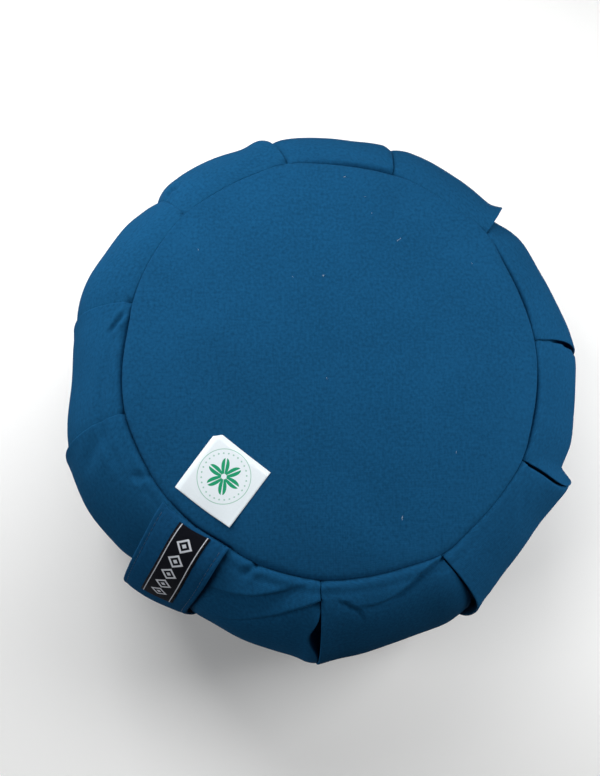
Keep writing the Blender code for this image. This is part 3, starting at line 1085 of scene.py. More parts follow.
@dataclass
class PleatedBand:
    """The side band: one closed, filled form with eleven knife pleats.

    Attributes:
        form: The plain form under the relief.
        creases: Creases laid in one by one.
        lumps: Unevenness of the filling.
        flap: Thickness of a flap's folded edge.
        flare_power: Power of the turn's sine with which its ear and fold shrink.
        hook_power: The same for its hook.
        step: Height of the step behind a flap, and the length over which it fades.
        press_reach: Length over which a flap presses down a section that stands above it.
        pocket: Depth of the slot behind a flap.
        pocket_gap: Its width at the bottom.
        slit_depth: Depth of the open slit along a flap's edge, in its widths.
        deepest: The most that it may be.
        slit_power: How squarely the slit closes.
        slit_ends: Sine of the turn below which it narrows.
        lip: Width of the step that is left of the slot at a seam.
        opens_over: Share of the half turn over which it opens.
        rub: How far from a flap's fold the cloth is rubbed.
        curl_points: Points round a flap's fold, and along each side of the slot.
        end_spacings: Share of a section between points at its start and end.
        end_reach: Share over which that widens.
        level_spacings: Distance between levels at shares of the way down.
        seam_spacing: The same at a seam, and the length over which it widens.
        roll: Height of the roll of cloth beside the seam.
        roll_at: Its distance from the seam, and half its width.
        dip_at: The same of the dip beyond it, which is half as deep.
        gathers: The seams' gathers.
        pits: Depth, distance from the seam and half width of the pits where cloth is caught.
        tacks: Angles of those that aren't at a pleat.
        cap_depth: How far the form stays under the panels.
        cap_inset: How far inside the seam it turns in.
        cap_rings: Its further rings, as shares of the seam's radius.
        hollow: How far the band is drawn in behind the strap.
        hollow_at: Degrees of its middle, and to each side.
        strap_at: The same of where the strap calms the cloth.
        strap_edge: Share of the latter at which that ends.
    """

    form: CushionForm
    creases: tuple[Crease, ...] = CREASES
    lumps: Unevenness = Unevenness(seed=4, height=0.00045, shortest=0.035, longest=0.11)
    flap: float = 0.0013
    flare_power: float = 1.3
    hook_power: int = 8
    step: tuple[float, float] = (0.0007, 0.004)
    press_reach: float = 0.006
    pocket: float = 0.011
    pocket_gap: float = 0.0004
    slit_depth: float = 3.0
    deepest: float = 0.0120
    slit_power: int = 8
    slit_ends: float = 0.12
    lip: float = 0.0009
    opens_over: float = 0.045
    rub: float = 0.0010
    curl_points: int = 6
    end_spacings: tuple[float, float] = (0.0035, 0.0060)
    end_reach: float = 0.05
    level_spacings: tuple[tuple[float, float], ...] = (
        (0.36, 0.0011), (0.44, 0.0016), (0.55, 0.0016), (0.65, 0.0034),
    )
    seam_spacing: tuple[float, float] = (0.0005, 0.004)
    roll: float = 0.0007
    roll_at: tuple[float, float] = (0.0036, 0.0024)
    dip_at: tuple[float, float] = (0.00828, 0.0020)
    gathers: Gathers = Gathers(0.00022, ((1.0, 71.0, 3.0, 4.0), (0.7, 113.0, 2.0, 7.0)), 0.006, 0.0012)
    pits: tuple[float, float, float] = (0.0013, 0.0012, 0.0020)
    tacks: tuple[float, ...] = (-71.4,)
    cap_depth: float = 0.0052
    cap_inset: float = 0.0016
    cap_rings: tuple[float, ...] = (0.8, 0.4)
    hollow: float = 0.0070
    hollow_at: tuple[float, float] = (-91.4, 11.6)
    strap_at: tuple[float, float] = (-90.0, 8.0)
    strap_edge: float = 1.4

    def face_shares(self, middle: float) -> Array:
        """Places across a section, middle apart in its middle and closest together at its ends."""
        first, last = self.end_spacings

        def spacing(share: Array) -> Array:
            """The distance to the next place."""
            near_start, near_end = np.exp(-share / self.end_reach), np.exp(-(1.0 - share) / self.end_reach)
            return middle - (middle - first) * near_start - (middle - last) * near_end

        return graded(1.0, spacing)

    def height(self, before: Pleat, after: Pleat, share: Array, along: Array, turn: Array) -> Array:
        """Relief of a section's face.

        The smooth curve through the waist heights times sin^fade of the turn, plus the ear
        (1 - (1 - s) / width)^curve sin^1.3, less the fold exp(-5 (1 - s) / width) in it, less the
        step and the slit along the flap before: depth exp(-(along / gap)^8), whose gap is the
        least one plus a bell. Where the start would stand above that flap, it is pressed down.

        Args:
            before: The pleat whose flap covers the section's start.
            after: The pleat that ends it.
            share: Where across the section.
            along: The same as a length from its start.
            turn: The levels.

        Returns:
            The relief.
        """
        rise = np.sin(turn)
        waist = through(share, np.array(WAIST_SHARES), np.array(after.waist))
        from_edge = (1.0 - share) / after.ear_width
        ear = after.ear * np.clip(1.0 - from_edge, 0.0, None) ** after.ear_curve
        ear = ear - after.fold * np.exp(-5.0 * from_edge)
        gap = before.least + before.gap * bell(turn / np.pi - before.widest, before.spread)
        gap = MM * gap * ease(rise / self.slit_ends)
        never_none = 1e-5
        slit = np.exp(-((along / (gap + never_none)) ** self.slit_power))
        slit = np.minimum(self.slit_depth * gap, self.deepest) * slit
        here = after.waist[0] * rise**after.fade
        flare = rise**self.flare_power
        flap = before.waist[-1] * rise**before.fade + (before.ear - before.fold) * flare
        pressed = np.minimum(flap - here, 0.0) * np.exp(-along / self.press_reach)
        face = MM * (waist * rise**after.fade + ear * flare + pressed)
        return face - self.step[0] * np.exp(-along / self.step[1]) - slit

    def section(self, before: Pleat, after: Pleat, following: Pleat, turn: Array) -> tuple[Array, ...]:
        """One section of the band at all levels, from its first showing point to the next one's.

        The outline runs over the face, round the flap's edge on a half circle, back along its
        underside, which is the face moved in along its normal, and out again below. Close to a
        seam the slot closes, and only a step is left.

        Args:
            before: The pleat whose flap covers its start.
            after: The pleat whose flap ends it.
            following: The pleat after that.
            turn: The levels.

        Returns:
            Angles, relief, length of cloth from the section's middle and wear, each (levels, n).
        """
        turn = turn[:, None]
        rise = np.sin(turn)
        radius = self.form.band(turn)[0]
        start, end = (p.angle + p.lean * rise + p.hook * rise**self.hook_power for p in (before, after))
        width = np.radians((start - end) % 360.0) * radius
        opening = ease(rise / math.sin(math.pi * self.opens_over))
        inset = (1.0 - opening) * self.lip

        def face(share: Array) -> Array:
            """The face at a share of the section: length across and relief."""
            along = inset + (width - inset) * share
            return np.stack((along, self.height(before, after, share, along, turn)))

        def normal(share: Array, reach: float = 0.004) -> Array:
            """Its outward normal likewise, taken over reach to each side."""
            across, out = face(share + reach) - face(share - reach)
            return np.stack((-out, across)) / np.hypot(across, out)

        share = self.face_shares(after.spacing)[None, :] + 0.0 * rise
        fold, half = np.ones_like(rise), 0.5 * self.flap
        edge, away = face(fold), normal(fold)
        beside = np.stack((away[1], -away[0]))
        swing = np.linspace(0.0, np.pi, self.curl_points)[None, 1:]
        cap = edge + half * ((np.cos(swing) - 1.0) * away + np.sin(swing) * beside)

        way = np.linspace(0.0, 1.0, self.curl_points)[None]
        back, forth = way[:, 1:], way[:, :-1]
        under_share = 1.0 - back * self.pocket / width
        under = face(under_share) - self.flap * normal(under_share)
        next_relief = self.height(after, following, 0.0 * rise, 0.0 * rise, turn)
        last_along, last_relief = under[0][:, -1:], under[1][:, -1:] - self.pocket_gap
        below_along = last_along + (width - last_along) * forth
        below_relief = last_relief + (next_relief - last_relief) * ease(forth)
        ceiling = face(below_along / width)[1] - 1.25 * self.flap - self.pocket_gap
        below = np.stack((below_along, np.minimum(below_relief, ceiling)))

        opened = np.concatenate((cap, under, below), axis=-1)
        step = np.linspace(0.0, 1.0, opened.shape[-1] + 1)[None, 1:]
        shut_along = width + self.lip * LIP_SHARE * step
        shut = np.stack((shut_along, edge[1] + (next_relief - edge[1]) * ease(step)))
        hidden = shut + (opened - shut) * opening
        along, relief = np.concatenate((face(share), hidden), axis=-1)
        cloth = run_length(along, relief) - 0.5 * width
        rim = cloth[:, share.shape[1] - 1 :][:, :1]
        wear = np.exp(-np.abs(cloth - rim - half) / self.rub) * rise
        return start - np.degrees(along / radius), relief, cloth, wear

    def levels(self) -> tuple[Array, Array]:
        """The band's levels as turns and as lengths of cloth down from the top seam."""
        turn, length = self.form.way_down()
        total = length[-1]

        def spacing(place: Array) -> Array:
            """Closest at the seams, and finer above the waist, where it shows."""
            coarse = np.interp(place / total, *zip(*self.level_spacings))
            near = np.exp(-np.minimum(place, total - place) / self.seam_spacing[1])
            return coarse - (coarse - self.seam_spacing[0]) * near

        down = graded(total, spacing)
        return np.interp(down, length, turn), down

    def seam_relief(self, degrees: Array, edge: Array, calm: Array) -> Array:
        """The roll of cloth, the gathers, the slack cloth's swell and the groove beside a seam.

        The roll is the tightness times a bell, with half as deep a dip beyond it, and the form
        gives the swell and the groove.

        Args:
            degrees: Angles.
            edge: Distance from the seam.
            calm: 0 where the strap presses the cloth flat, 1 elsewhere.

        Returns:
            The relief.
        """
        tight, groove, slack, swell = self.form.seam_shape(degrees, edge)
        roll, dip = (bell(edge - place, width) for place, width in (self.roll_at, self.dip_at))
        gathers = self.gathers.relief(degrees, edge)
        return calm * (self.roll * tight * (roll - 0.5 * dip) + gathers) + slack * swell - groove

    def knots(self, degrees: Array, edge: Array) -> Array:
        """Small pits where the pleats' feet are caught in the seam: a bell of the place at each."""
        depth, inset, width = self.pits
        radius = self.form.seam_radius
        places = (*(p.angle for p in self.form.pleats if p.lean != 0.0), *self.tacks)
        pits = [np.hypot(np.radians(off_by(degrees, place)) * radius, edge - inset) for place in places]
        return -depth * sum(bell(pit, width) for pit in pits)

    def crease_relief(self, degrees: Array, down: Array) -> Array:
        """All creases at once, each laid on the band rolled flat about its own place, and only near it.

        Args:
            degrees: Angles, (levels, n).
            down: Length of cloth from the top seam, (levels, 1).

        Returns:
            The relief, (levels, n).
        """
        turn, length = self.form.way_down()
        relief, margin = np.zeros(degrees.shape), 0.02
        for crease in self.creases + self.foot_creases():
            path = np.array(crease.path)
            line_down = np.interp(path[:, 1] * np.pi, turn, length)
            radius = self.form.band(path[:, 1].mean() * np.pi)[0]
            line = np.stack((-np.radians(off_by(path[:, 0], path[0, 0])) * radius, line_down), axis=-1)
            across = -np.radians(off_by(degrees, path[0, 0])) * radius
            close = (across > line[:, 0].min() - margin) & (across < line[:, 0].max() + margin)
            close &= (down > line_down.min() - margin) & (down < line_down.max() + margin)
            deep = np.broadcast_to(down, degrees.shape)[close]
            relief[close] += crease.relief(across[close], deep, line)
        return relief

    def foot_creases(self) -> tuple[Crease, ...]:
        """Slanting creases that run up from each pleat's foot at the bottom seam, drawn at random.

        Each runs reach degrees sideways and height of the half turn up, in two straight lines.
        """
        rng = np.random.default_rng(11)
        lowest = 0.985
        made = []
        for pleat in self.form.pleats:
            for side in (1.0, -1.0):
                reach, height = rng.uniform(7.0, 15.0), rng.uniform(0.10, 0.26)
                foot = pleat.angle + side * rng.uniform(0.5, 2.0)
                middle = (foot + 0.4 * side * reach, 1.0 - 0.5 * height)
                path = ((foot, lowest), middle, (foot + side * reach, 1.0 - height))
                depth, width = rng.uniform(0.0006, 0.0015), rng.uniform(0.0020, 0.0034)
                made.append(Crease(path, depth, width, sharp_start=True))
        return tuple(made)

    def caps(self, degrees: Array) -> tuple[list[Array], list[Array]]:
        """The rings that close the form under the two panels, each list from the seam inwards."""
        form, depth = self.form, self.cap_depth
        first = form.seam_radius - self.cap_inset
        radii = [share * form.seam_radius for share in self.cap_rings]
        above = [polar(degrees, first, form.seam_z - depth)]
        above += [polar(degrees, radius, form.crown_z(radius) - depth) for radius in radii]
        below = [polar(degrees, first, form.bottom_seam_z + depth)]
        below += [polar(degrees, radius, form.sole_z(radius) + depth) for radius in radii]
        return above, below

    def surface(self) -> Surface:
        """The whole band as one closed surface."""
        form = self.form
        turn, down = self.levels()
        first, second = form.pleats[:1], form.pleats[:2]
        runs = zip(form.pleats, form.pleats[1:] + first, form.pleats[2:] + second)
        sections = [self.section(*three, turn) for three in runs]
        degrees, relief, _, wear = (np.concatenate([part[i] for part in sections], axis=1) for i in range(4))
        places = (self.strap_at, self.hollow_at)
        off_strap, off_hollow = (np.abs(off_by(degrees, middle)) / spread for middle, spread in places)
        calm = 1.0 - ease(self.strap_edge - off_strap)
        behind = np.clip(1.0 - off_hollow, 0.0, 1.0)
        rise = np.sin(turn)[:, None]
        relief = relief - self.hollow * np.sin(0.5 * np.pi * behind) ** 2 * rise**2
        relief = relief + self.crease_relief(degrees, down[:, None])
        for edge in (down[:, None], down[-1] - down[:, None]):
            relief = relief + self.seam_relief(degrees, edge, calm) + calm * self.knots(degrees, edge)
        radius, height, out, up = (part[:, None] for part in form.band(turn))
        plain = polar(degrees, radius, height)
        relief = relief + calm * self.lumps.relief(plain) * np.sqrt(rise)
        rings = polar(degrees, radius + relief * out, height + relief * up)

        above, below = self.caps(degrees[0])
        poles = [polar(0.0, 0.0, z) for z in (form.height - self.cap_depth, self.cap_depth)]
        rows = np.concatenate((np.array(above[::-1]), rings, np.array(below)))
        points, faces = closed_rings(rows, poles)
        points = form.settled(points)
        cloth = [flat_places(points, part) for part in faces]
        first, last = len(above), len(above) + len(turn) - 1
        cloth[0][first:last] = self.places(sections, down)
        rubbed = np.zeros(rows.shape[:2])
        rubbed[first : last + 1] = wear
        return Surface(points, faces, cloth, np.concatenate((rubbed.ravel(), (0.0, 0.0))))

    def places(self, sections: list[tuple[Array, ...]], down: Array) -> Array:
        """Each quad's corners on the flat cloth: every section lies apart, in its true lengths.

        Args:
            sections: What section() gives for each.
            down: Length of cloth down to each level.

        Returns:
            Places of shape (levels - 1, n, 4, 2).
        """
        apart = 0.37
        parts = []
        for number, (_, _, cloth, _) in enumerate(sections):
            level = np.broadcast_to(down[:, None], cloth.shape)
            parts.append(quad_places(cloth + apart * number, CLOTH_WRAP, level))
        return np.concatenate(parts, axis=1)

    def build(self, finish: CanvasFinish) -> Object:
        """Makes the band as a filled piece.

        Args:
            finish: Its canvas.

        Returns:
            The piece.
        """
        piece = self.surface().piece("band_cover", finish.material())
        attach(piece, "root")
        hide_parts("side_band")
        return piece


class Side(Enum):
    """Which of the two round panels: its piece, the solid it stands for, and the way it faces."""

    TOP = ("top_cover", "top_panel", 1.0)
    BOTTOM = ("bottom_cover", "bottom_panel", -1.0)


@dataclass
class RoundPanel:
    """A round panel: one crowned sheet of canvas, sewn to the band all round.

    Attributes:
        form: The form it lies on.
        side: Top or bottom.
        lumps: Unevenness of the filling under it.
        thickness: The canvas.
        rim_gap: How far its edge stays inside the seam.
        gathers: The seam's gathers.
        trough: Depth of the trough that runs in from each pleat, as a share of its corner.
        trough_size: Degrees to each side of it, and the length over which it fades inwards.
        lump_reach: Distance from the seam, or from the flat it rests on, where lumps are in full.
        grain: Direction of the warp.
        columns: Points in each ring.
        ring_spacing: Distance between rings in the middle, by how much it is less at the rim, and
            the length over which it widens.
        pole_hole: Radius left for the middle point.
    """

    form: CushionForm
    side: Side
    lumps: Unevenness = Unevenness(seed=9, height=0.00035, shortest=0.045, longest=0.13)
    thickness: float = 0.0012
    rim_gap: float = 0.00006
    gathers: Gathers = Gathers(0.00016, ((1.0, 67.0, 2.0, 5.0), (0.6, 101.0, 0.0, 0.0)), 0.007, 0.0015)
    trough: float = 0.30
    trough_size: tuple[float, float] = (2.2, 0.016)
    lump_reach: float = 0.02
    grain: float = 128.6
    columns: int = 360
    ring_spacing: tuple[float, float, float] = (0.0026, 0.0022, 0.004)
    pole_hole: float = 0.003

    def outer_z(self, points: Array) -> Array:
        """Height of the outer face over plan points.

        It is the plain crown or sole, less the seam's groove, plus lumps, gathers, and a soft
        trough that runs in from each pleat. Where the seam is slack, the shoulder is flatter and
        the cloth swells up to it.

        Args:
            points: Plan points, with x and y last.

        Returns:
            Heights.
        """
        form, faces = self.form, self.side.value[2]
        radius = np.hypot(points[..., 0], points[..., 1])
        degrees = np.degrees(np.arctan2(points[..., 1], points[..., 0]))
        edge = np.clip(form.seam_radius - self.rim_gap - radius, 0.0, None)
        plain = form.crown_z(radius) if self.side is Side.TOP else form.sole_z(radius)
        _, groove, slack, swell = form.seam_shape(degrees, edge)
        along, whole = form.crown_powers
        shape = np.clip(1.0 - (radius / form.seam_radius) ** along, 0.0, 1.0)
        relief = slack * (swell + form.crown * (shape - shape**whole)) - groove
        relief = relief + self.gathers.relief(degrees, edge)
        for pleat in form.pleats:
            away = off_by(degrees, pleat.angle) * (radius / form.seam_radius)
            narrow = bell(away, self.trough_size[0]) * np.exp(-edge / self.trough_size[1])
            relief = relief - self.trough * MM * pleat.corner * narrow
        space = np.concatenate((points[..., :2], np.full(radius.shape + (1,), form.height)), axis=-1)
        lumps = self.lumps.relief(space) * ease(edge / self.lump_reach)
        if self.side is Side.BOTTOM:
            lumps = lumps * ease((radius - form.rest_radius) / self.lump_reach)
        return plain + faces * (relief + lumps)

    def surface(self) -> Surface:
        """The sheet as a closed surface: rings of the outer face, then of the inner one."""
        away = self.side.value[2]
        rim = self.form.seam_radius - self.rim_gap
        inside, closer, over = self.ring_spacing
        edge = graded(rim - self.pole_hole, lambda d: inside - closer * np.exp(-d / over))
        inner_edge = edge[::4]
        turn = np.linspace(360.0, 0.0, self.columns, endpoint=False)
        outer = polar(turn[None], (rim - edge[::-1])[:, None], 0.0)
        inner = polar(turn[None], (rim - inner_edge[::-1])[:, None], 0.0)
        outer[..., 2] = self.outer_z(outer)
        inner[..., 2] = self.outer_z(inner) - away * self.thickness
        middle = float(self.outer_z(np.zeros(3)))
        poles = [(0.0, 0.0, middle), (0.0, 0.0, middle - away * self.thickness)]
        if self.side is Side.TOP:
            rows = np.concatenate((outer, inner[::-1]))
        else:
            rows = np.concatenate((inner, outer[::-1]))
            poles = poles[::-1]
        points, faces = closed_rings(rows, poles)
        turned = Matrix.Rotation(math.radians(90.0 - self.grain), 2)
        flat = points[:, :2] @ np.array(turned).T
        return Surface(self.form.settled(points), faces, [flat[part] for part in faces])

    def build(self, finish: CanvasFinish, rests_on: Object) -> Object:
        """Makes the panel as a stretched sheet.

        Args:
            finish: Its canvas.
            rests_on: The band that it is sewn to. Not used.

        Returns:
            The piece.
        """
        name, node, _ = self.side.value
        piece = self.surface().piece(name, finish.material())
        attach(piece, "root")
        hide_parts(node)
        return piece


@dataclass
class CarryStrap:
    """The carry strap: a folded length of canvas, topstitched near both edges, caught in both seams.

    Attributes:
        form: The form it runs over.
        width: Its width at the seams.
        taper: Share of the width that is lost at the waist.
        shift: How far it runs towards +X at the waist.
        bow: How far it does halfway there.
        slant: How much farther down its -X edge begins.
        thickness: Its folded layers.
        lift: How far its middle stands off the form at the waist.
        twist: How much higher its -X edge stands there, and its +X edge lower.
        rest: How far its ends stand off the form.
        dive: How far they dive into the seam's groove, and the turn's sine that ends it.
        end: Share of the half turn left free at each end.
        swell: Height of the swell between the stitch lines.
        trough: A stitch line's depth, what each stitch adds, and half its width.
        worn_edge: How far the edges are rounded, and over what width.
        rub: How far from an edge the cloth is rubbed.
        stitch_inset: From an edge to its topstitch line.
        stitch_step: From one stitch to the next.
        thread: The thread's radius, a little thick so that it shows.
        waves: Unevenness of its face.
        rows: Points along it.
        spacing: Distance between points across it.
    """

    form: CushionForm
    width: float = 0.050
    taper: float = 0.085
    shift: float = 0.0004
    bow: float = 0.0020
    slant: float = 0.0048
    thickness: float = 0.0024
    lift: float = 0.0024
    twist: float = 0.0049
    rest: float = 0.0008
    dive: tuple[float, float] = (0.0020, 0.022)
    end: float = 0.004
    swell: float = 0.0004
    trough: tuple[float, float, float] = (0.00040, 0.00012, 0.0010)
    worn_edge: tuple[float, float] = (0.0007, 0.0009)
    rub: float = 0.0012
    stitch_inset: float = 0.0034
    stitch_step: float = 0.0034
    thread: float = 0.00020
    waves: Unevenness = Unevenness(seed=21, height=0.0003, shortest=0.03, longest=0.07, waves=10)
    rows: int = 176
    spacing: float = 0.0011

    def points(self, along: Array, across: Array, rise: Array) -> Array:
        """Points over the strap.

        It stands rest + (lift - rest) sin^1.5 of the turn off the form, turned across by twist
        sin^2, and dives into the groove at the seams. Taper and shift grow with sin^2, the bow
        with sin^2 of twice the turn, and the slant with cos^2 of half the turn.

        Args:
            along: Turn of the form, from seam to seam.
            across: Length across, from the strap's middle.
            rise: Height above its inner face.

        Returns:
            The points.
        """
        skew = self.slant * np.clip(0.5 - across / self.width, 0.0, 1.0) / self.form.drop
        along = along + skew * np.cos(0.5 * along) ** 2
        radius, height, out, up = self.form.band(along)
        sine = np.sin(along)
        lift = self.rest + (self.lift - self.rest) * sine**1.5
        lift = lift - self.dive[0] * np.exp(-sine / self.dive[1])
        stand = lift - self.twist * (across / (0.5 * self.width)) * sine**2 + rise
        reach = radius + stand * out
        y = np.sqrt(reach**2 - across**2)
        sideways = self.shift * sine**2 + self.bow * np.sin(2.0 * along) ** 2
        x = across * (1.0 - self.taper * sine**2) + sideways
        return np.stack(np.broadcast_arrays(x, -y, height + stand * up), axis=-1)

    def run(self) -> tuple[Array, Array]:
        """Turns along the strap, and the length from its top end to each."""
        fine = np.linspace(self.end * np.pi, (1.0 - self.end) * np.pi, 800)
        path = self.points(fine, np.zeros(1), np.zeros(1))
        steps = np.linalg.norm(np.diff(path, axis=0), axis=1)
        return fine, np.concatenate(((0.0,), np.cumsum(steps)))

    def at(self, length: Array, across: Array, rise: Array) -> Array:
        """Settled points at lengths from the strap's top end."""
        fine, run = self.run()
        along = np.interp(length, run, fine)
        return self.form.settled(self.points(along, across, rise))

    def face(self, length: Array, across: Array) -> Array:
        """Rise of the outer face.

        The thickness, slow waves and a swell between the stitch lines, less a trough along
        each line and a round of the edges.

        Args:
            length: From the top end.
            across: From the middle.

        Returns:
            The rise.
        """
        length, across = np.broadcast_arrays(length, across)
        line = 0.5 * self.width - self.stitch_inset
        off_line = np.abs(np.abs(across) - line)
        beat = 0.5 + 0.5 * np.cos(2.0 * np.pi * length / self.stitch_step)
        depth, added, width = self.trough
        trough = (depth + added * beat) * bell(off_line, width)
        swell = self.swell * np.clip(1.0 - (across / line) ** 2, 0.0, 1.0)
        flat = np.stack((across, length, np.zeros(across.shape)), axis=-1)
        edge = 0.5 * self.width - np.abs(across)
        worn = self.worn_edge[0] * np.exp(-edge / self.worn_edge[1])
        return self.thickness + swell + self.waves.relief(flat) - trough - worn

    def surface(self) -> Surface:
        """The strap as a closed surface: a flat loop with round edges carried along its run."""
        total = self.run()[1][-1]
        length = np.linspace(0.0, total, self.rows)[:, None]
        half, middle = 0.5 * self.width, 0.5 * self.thickness
        grade = graded(self.width - 2.0 * middle, lambda p: np.full(p.shape, self.spacing))
        across = (grade - (half - middle))[None, :]
        outer = self.face(length, across)
        turn = np.linspace(0.0, np.pi, 9)[None, 1:-1]
        edge = outer[:, -1:]
        near = outer[:, :1]
        right = (half - middle + 0.5 * edge * np.sin(turn), 0.5 * edge * (1.0 + np.cos(turn)))
        left = (-(half - middle) - 0.5 * near * np.sin(turn), 0.5 * near * (1.0 - np.cos(turn)))
        back = across[:, ::-2]
        loop = [(across + 0.0 * length, outer), right, (back + 0.0 * length, 0.0 * (back + length)), left]
        sides = np.concatenate([part[0] for part in loop], axis=1)
        rise = np.concatenate([part[1] for part in loop], axis=1)
        rows = self.at(length, sides, rise)
        cloth = quad_places(run_length(sides, rise), CLOTH_WRAP, np.broadcast_to(length, sides.shape))
        points, faces = closed_rings(rows, (rows[0].mean(axis=0), rows[-1].mean(axis=0)))
        worn = 0.8 * np.exp(-np.clip(half - np.abs(sides), 0.0, None) / self.rub)
        wear = np.concatenate((np.where(rise > 0.0, worn, 0.0).ravel(), (0.0, 0.0)))
        return Surface(points, faces, [cloth, *(flat_places(points, cap) for cap in faces[1:])], wear)

    def stitches(
        self, inset: float, first: float, last: float, step: float, half_width: float, off_centre: float = 0.0
    ) -> Array:
        """Paths of two lines of stitches, one inside each edge.

        Each stitch runs straight along the line, and it arches out by a sine and dips at its ends.

        Args:
            inset: From an edge to its line.
            first: Length at which the lines start.
            last: Length at which they end.
            step: From one stitch to the next.
            half_width: Half the width between the edges.
            off_centre: How far the middle between the edges is from the strap's, towards +X.

        Returns:
            Points of the paths, (stitches, 6, 3).
        """
        start = np.arange(first, last - step, step)
        share, apart, arch, dip = np.linspace(0.0, 1.0, len(STITCH_TAPER)), 0.0005, 0.00030, 0.00012
        length = start[:, None] + (step - apart) * share
        rise = arch * np.sin(np.pi * share) - dip
        lines = []
        for side in (-1.0, 1.0):
            across = np.full(length.shape, side * (half_width - inset) + off_centre)
            lines.append(self.at(length, across, self.face(length, across) + rise))
        return np.concatenate(lines)

    def build(self, finish: CanvasFinish, thread: ThreadFinish, rests_on: Object) -> Object:
        """Makes the strap and its topstitching.

        Args:
            finish: The strap's canvas.
            thread: The stitches' thread.
            rests_on: The band behind it. Not used.

        Returns:
            The strap.
        """
        strap = self.surface().piece("carry_strap", finish.material())
        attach(strap, "root")
        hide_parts("handle_strap")
        total, inset = self.run()[1][-1], 0.004
        paths = self.stitches(self.stitch_inset, inset, total - inset, self.stitch_step, 0.5 * self.width)
        radius = self.thread * np.array(STITCH_TAPER)
        topstitch = tubes(paths, radius, THREAD_SIDES).piece("strap_topstitch", thread.material())
        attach(topstitch, "root")
        return strap


@dataclass
class WovenLabel:
    """The woven label, sewn on the strap from its top end.

    Attributes:
        strap: The strap that it lies on.
        width: Its width.
        length: Its length.
        start: From the strap's top end.
        slant: How much nearer to it the +X corner is than the -X one.
        off_centre: How far its middle line is from the strap's, towards +X.
        flare: By what share it is wider at its lower end in the strap's own widths, which get
            narrower towards the waist.
        thickness: The tape.
        gap: What it keeps clear of the strap.
        ripple: Height of the ripples along its sides, their length, and how far in they fade.
        stitch_step: From one stitch to the next.
        stitch_inset: From a side to its line of stitches, and from an end to their first.
        thread: Radius of the thread.
        grid: Points along it and across it.
    """

    strap: CarryStrap
    width: float = 0.0215
    length: float = 0.062
    start: float = 0.0008
    slant: float = 0.0008
    off_centre: float = 0.0020
    flare: float = 0.08
    thickness: float = 0.0005
    gap: float = 0.00012
    ripple: tuple[float, float, float] = (0.00016, 0.0085, 0.002)
    stitch_step: float = 0.0026
    stitch_inset: float = 0.0010
    thread: float = 0.00015
    grid: tuple[int, int] = (112, 36)

    def build(self, finish: WovenLabelFinish, thread: ThreadFinish, rests_on: Object) -> Object:
        """Makes the label as a thin sheet on the strap's face, and the stitches along its sides.

        Its face follows the strap's, with small ripples along its sides, and it is thinner at its edges and
        ends.

        Args:
            finish: The label's tape.
            thread: Its stitches' thread.
            rests_on: The strap. Not used.

        Returns:
            The label.
        """
        half = 0.5 * self.width
        down = np.linspace(0.0, self.length, self.grid[0])[:, None]
        side = np.linspace(-half, half, self.grid[1])[None, :]
        length = self.start + down - self.slant * side / self.width
        across = side * (1.0 + self.flare * down / self.length) + self.off_centre
        edge = half - np.abs(side) + 0.0 * down
        height, wave, reach = self.ripple
        beat = np.sin(2.0 * np.pi * length / wave + 2.0 * np.sign(side))
        ripple = height * beat * np.exp(-edge / reach)
        under = self.strap.face(length, across) + self.gap + 0.00010 + ripple
        ends, thin, round_edge = np.minimum(down, self.length - down), 0.55, 0.0006
        body = thin + (1.0 - thin) * ease(np.minimum(edge, ends + 0.0 * side) / round_edge)
        top = under + self.thickness * body
        places = np.stack((side + 0.0 * down, down + 0.0 * side), axis=-1)
        surface = slab(self.strap.at(length, across, top), self.strap.at(length, across, under), places)
        label = surface.piece("tape_label", finish.material())
        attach(label, "root")
        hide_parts("woven_label")

        inset = self.stitch_inset
        first, last = self.start + inset, self.start + self.length - inset
        paths = self.strap.stitches(inset, first, last, self.stitch_step, half, self.off_centre)
        # The stitches are moved out by the label's thickness, away from a place deep inside.
        deep = np.full(1, -0.12)
        outward = paths - self.strap.at(np.full(paths.shape[:2], 0.5 * self.length), np.zeros(1), deep)
        outward /= np.linalg.norm(outward, axis=-1, keepdims=True)
        paths = paths + (self.gap + self.thickness) * outward
        radius = self.thread * np.array(STITCH_TAPER)
        sewn = tubes(paths, radius, THREAD_SIDES).piece("tape_stitches", thread.material())
        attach(sewn, "root")
        return label


